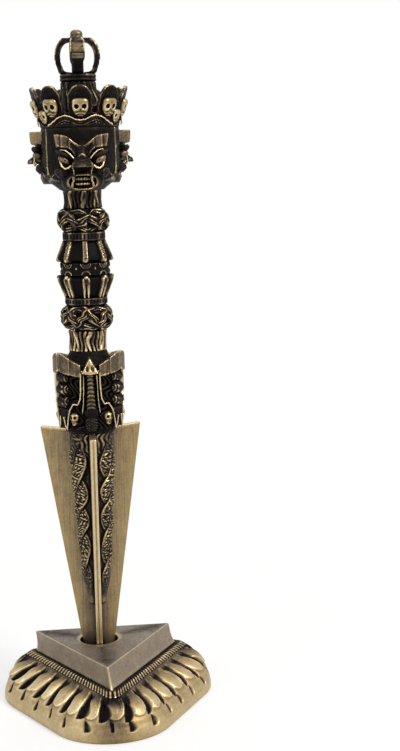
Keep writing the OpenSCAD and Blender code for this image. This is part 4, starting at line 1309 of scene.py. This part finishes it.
def leaf_skull(out, side, z, height, size):
    """A skull on a leaf: a long head with a flat top, hollow eyes, slanting cheek lines and a narrow jaw."""
    up, ahead = on_leaf(out, z)
    side = np.abs(side) / size
    up = (up - height) / size
    ahead = ahead / size
    wide = profile(up, [-3.2, -2.4, -1.2, 0.2, 2.6], [1.2, 1.7, 2.4, 2.75, 2.75])
    filling = np.abs(side / wide) ** 4 + np.abs(up / 3.1) ** 5 + np.abs((ahead + 0.4) / 1.7) ** 3
    head = (filling ** (1 / 3.6) - 1) * 1.7
    eyes = ball(ahead - 1.05, side - 1.25, up - 0.5, 0.8)
    nose = egg(ahead - 1.5, side, up + 0.55, 0.4, 0.35, 0.5)
    cheek = wire((ahead, side, up), [(1.4, 0.35, -1.0), (1.25, 1.1, -1.35), (0.9, 1.9, -1.5)], 0.2)
    mouth = wire((ahead, side, up), [(1.1, 0, -2.0), (1.0, 0.7, -2.15), (0.7, 1.2, -2.5)], 0.16)
    head = carve(carve(head, eyes, 0.15), nose, 0.1)
    return common(carve(carve(head, cheek, 0.1), mouth, 0.1), -0.45 - ahead) * size


def headband(out, side, z):
    """The rope, and the band below it with three fine lines that follow the rope's waves."""
    twist = 0.07 * np.cos(2 * np.pi * (side + 0.4 * z) / 0.8)
    rope = wire((out, side, z), ROPE, 0.27) - twist
    crest = profile(side, [place[1] for place in ROPE], [place[2] for place in ROPE])
    below = (crest - z) * profile(side, [0, 6, 8, 10.3], [1.0, 1.0, 0.75, 0.7])
    lines = 0.17 * np.cos(2 * np.pi * below / 0.75) * (below < 2.3)
    radius = 12.6 + 0.2 * (z - CROWN_FOOT).clip(0, 4) + lines * share_of(z, CROWN_FOOT, CROWN_FOOT + 0.5)
    return rope, common(np.hypot(out, side) - radius, -below)


def make_head():
    wax = Wax((-19.0, -19.0, FACE_FOOT - 0.4), (19.0, 19.0, CROWN_TOP), FINE_STEP)
    out, side = wax.facing(3)
    side = np.abs(side)
    z = wax.z
    front_face, side_face = one_face(out, side, z), one_face(out, side, z, SIDE_LIFT)
    core = wax.r - profile(z, [174, 177], [6.1, 9.2]) - 0.14 * np.cos(wax.angle * 48)
    wax.add("head_core", cut_to(wax, core, FACE_FOOT, CORE_TOP), tone=-0.1)
    for name, front, (face, bright, brow_panel) in (
        ("face_front", -90, front_face), ("face_right", 30, side_face), ("face_left", 150, side_face),
    ):
        off = np.mod(wax.angle - math.radians(front) + np.pi, 2 * np.pi) - np.pi
        sector = wax.r * np.sin(np.clip(np.abs(off) - math.radians(60), -np.pi / 2, np.pi / 2))
        shape = common(cut_to(wax, face, FACE_FOOT, CROWN_FOOT), sector)
        wax.add(name, shape, wear=0.5, bright=common(bright, sector), panel=common(brow_panel, sector))
    rope, plate = headband(out, side, z)
    band = cut_to(wax, either(rope, plate), CROWN_FOOT, 201)
    wax.add("headbands", common(band, 11.0 - wax.r), tone=-0.02, wear=0.8, bright=rope + 0.03)
    ring = cut_to(wax, wax.r - CROWN_RADIUS - 0.36 * (z - CROWN_FOOT), CROWN_FOOT, CORE_TOP)
    leaf_out, leaf_side = wax.facing(9)
    low_out, low_side = wax.facing(3, FRONT + 60)
    tall = crown_leaf(leaf_out, leaf_side, z, 13.3, 4.0)
    low = crown_leaf(low_out, low_side, z, 8.4, 2.9)
    crown = common(either(ring, tall, low), 9.2 - wax.r)
    wax.add("crown", cut_to(wax, crown, CROWN_FOOT, CROWN_TOP), tone=-0.08, wear=0.5)
    skulls = leaf_skull(leaf_out, leaf_side, z, 6.5, 0.98)
    skulls = either(skulls, leaf_skull(low_out, low_side, z, 3.6, 0.72))
    wax.add("crown_skulls", skulls, tone=0.06, bright=skulls + 0.05)
    cast(wax)


make_head()

# %% [markdown]
# Hair is drawn up over the head into a fluted topknot. On it sits half a vajra: a double-rimmed collar and
# four curved prongs that close round a straight one under a bud. The prongs are flat bars bent to a curve,
# so each is drawn as a bent line in its own plane, given a thickness there and a width across it. Their
# upper halves are broad polished panels, and below a notch and a knuckle they are dark.

# %% Topknot and finial
HAIR_TOP, CAGE_FOOT, CAGE_TOP, TOP = 208.5, 211.0, 222.3, 225.0
PANEL, KNUCKLE = (217.5, 220.6), (215.5, 217.1)
BEND_STEPS = 14


def prong(out, side, z):
    """One curved prong, broad above the notch, its two raised edges and the flat panels between them."""
    path = []
    for turn in np.linspace(-1.0, 1.0, BEND_STEPS) * np.pi / 2:
        swing = 5.2 * np.cos(turn) ** 0.75
        path.append((swing + 2.6 * np.clip(-np.sin(turn), 0.6, 1) - 0.36, 216.4 + 5.7 * np.sin(turn)))
    parts = []
    for (out_a, z_a), (out_b, z_b) in zip(path, path[1:]):
        along_out, along_z = out_b - out_a, z_b - z_a
        length = along_out ** 2 + along_z ** 2
        share = np.clip(((out - out_a) * along_out + (z - z_a) * along_z) / length, 0, 1)
        parts.append(np.hypot(out - out_a - share * along_out, z - z_a - share * along_z))
    bend = join(0.25, *parts)
    half = profile(z, [211, 214.5, 215.4, 217.2, 218.2, 221.2, 222.3], [1.8, 1.75, 2.2, 2.35, 2.35, 2.3, 1.8])
    flat = common(bend - 0.8, side - half)
    edges = common(np.hypot(bend - 0.75, side - half + 0.2) - 0.2, 215.2 - z)
    creases = either(np.hypot(z - 217.3, out - 7.2), np.hypot(z - 215.2, out - 7.2)) - 0.26
    faces = either(common(side - 1.5, between(z, *PANEL)), common(side - 1.8, between(z, *KNUCKLE)))
    panels = common(faces, between(bend, 0.45, 0.8), 4.0 - out)
    shape = carve(join(0.12, flat, edges), creases, 0.1)
    return shape, common(edges, 217.3 - z, 5.0 - out), panels


def make_finial():
    wax = Wax((-10.2, -10.2, CORE_TOP - 0.4), (10.2, 10.2, TOP + 0.4), FINE_STEP)
    z = wax.z
    out, side = wax.facing(4)
    side = np.abs(side)
    hair_radius = profile(z, [198.4, 200.5, 203, 206, 208.5], [8.3, 7.6, 6.3, 5.0, 4.9])
    hair = wax.strands(19, hair_radius, 0.85, 0.1, 0.5)
    wisps = wax.strands(11, hair_radius + 0.25, 0.55, 0.3, 0.4, 0.9)
    knot = cut_to(wax, join(0.1, wax.r - hair_radius, hair, wisps), CORE_TOP, HAIR_TOP)
    wax.add("topknot", knot, tone=-0.16, wear=0.7, bright=wisps + 0.03)
    rims = either(np.hypot(wax.r - 5.35, z - 209.15) - 0.6, np.hypot(wax.r - 5.3, z - 210.3) - 0.62)
    wax.add("finial_collar", cut_to(wax, join(0.12, rims, wax.r - 5.0), HAIR_TOP, CAGE_FOOT), tone=-0.22)
    prongs, edges, panels = prong(out, side, z)
    prongs = common(cut_to(wax, prongs, CAGE_FOOT, CAGE_TOP), 1.3 - wax.r)
    wax.add("finial_outer_prongs", prongs, tone=-0.1, wear=0.5, bright=edges, panel=panels + 0.04)
    shaft = wax.r - profile(z, [211, 212, 216, 217, 218, 222.3], [1.9, 1.5, 1.3, 1.9, 1.4, 1.3])
    wax.add("finial_centre_prong", cut_to(wax, shaft, CAGE_FOOT, CAGE_TOP), tone=-0.2)
    bud = either(egg(wax.r, 0, z - 223.6, 2.05, 2.05, 1.4), wax.r + (z - TOP) * 0.9)
    neck_ring = np.hypot(wax.r - 1.5, z - 222.6) - 0.4
    bud = cut_to(wax, join(0.2, bud, neck_ring), CAGE_TOP, TOP)
    wax.add("finial_bud", bud, tone=0.08, wear=0.6, panel=bud + 0.12)
    cast(wax)


make_finial()
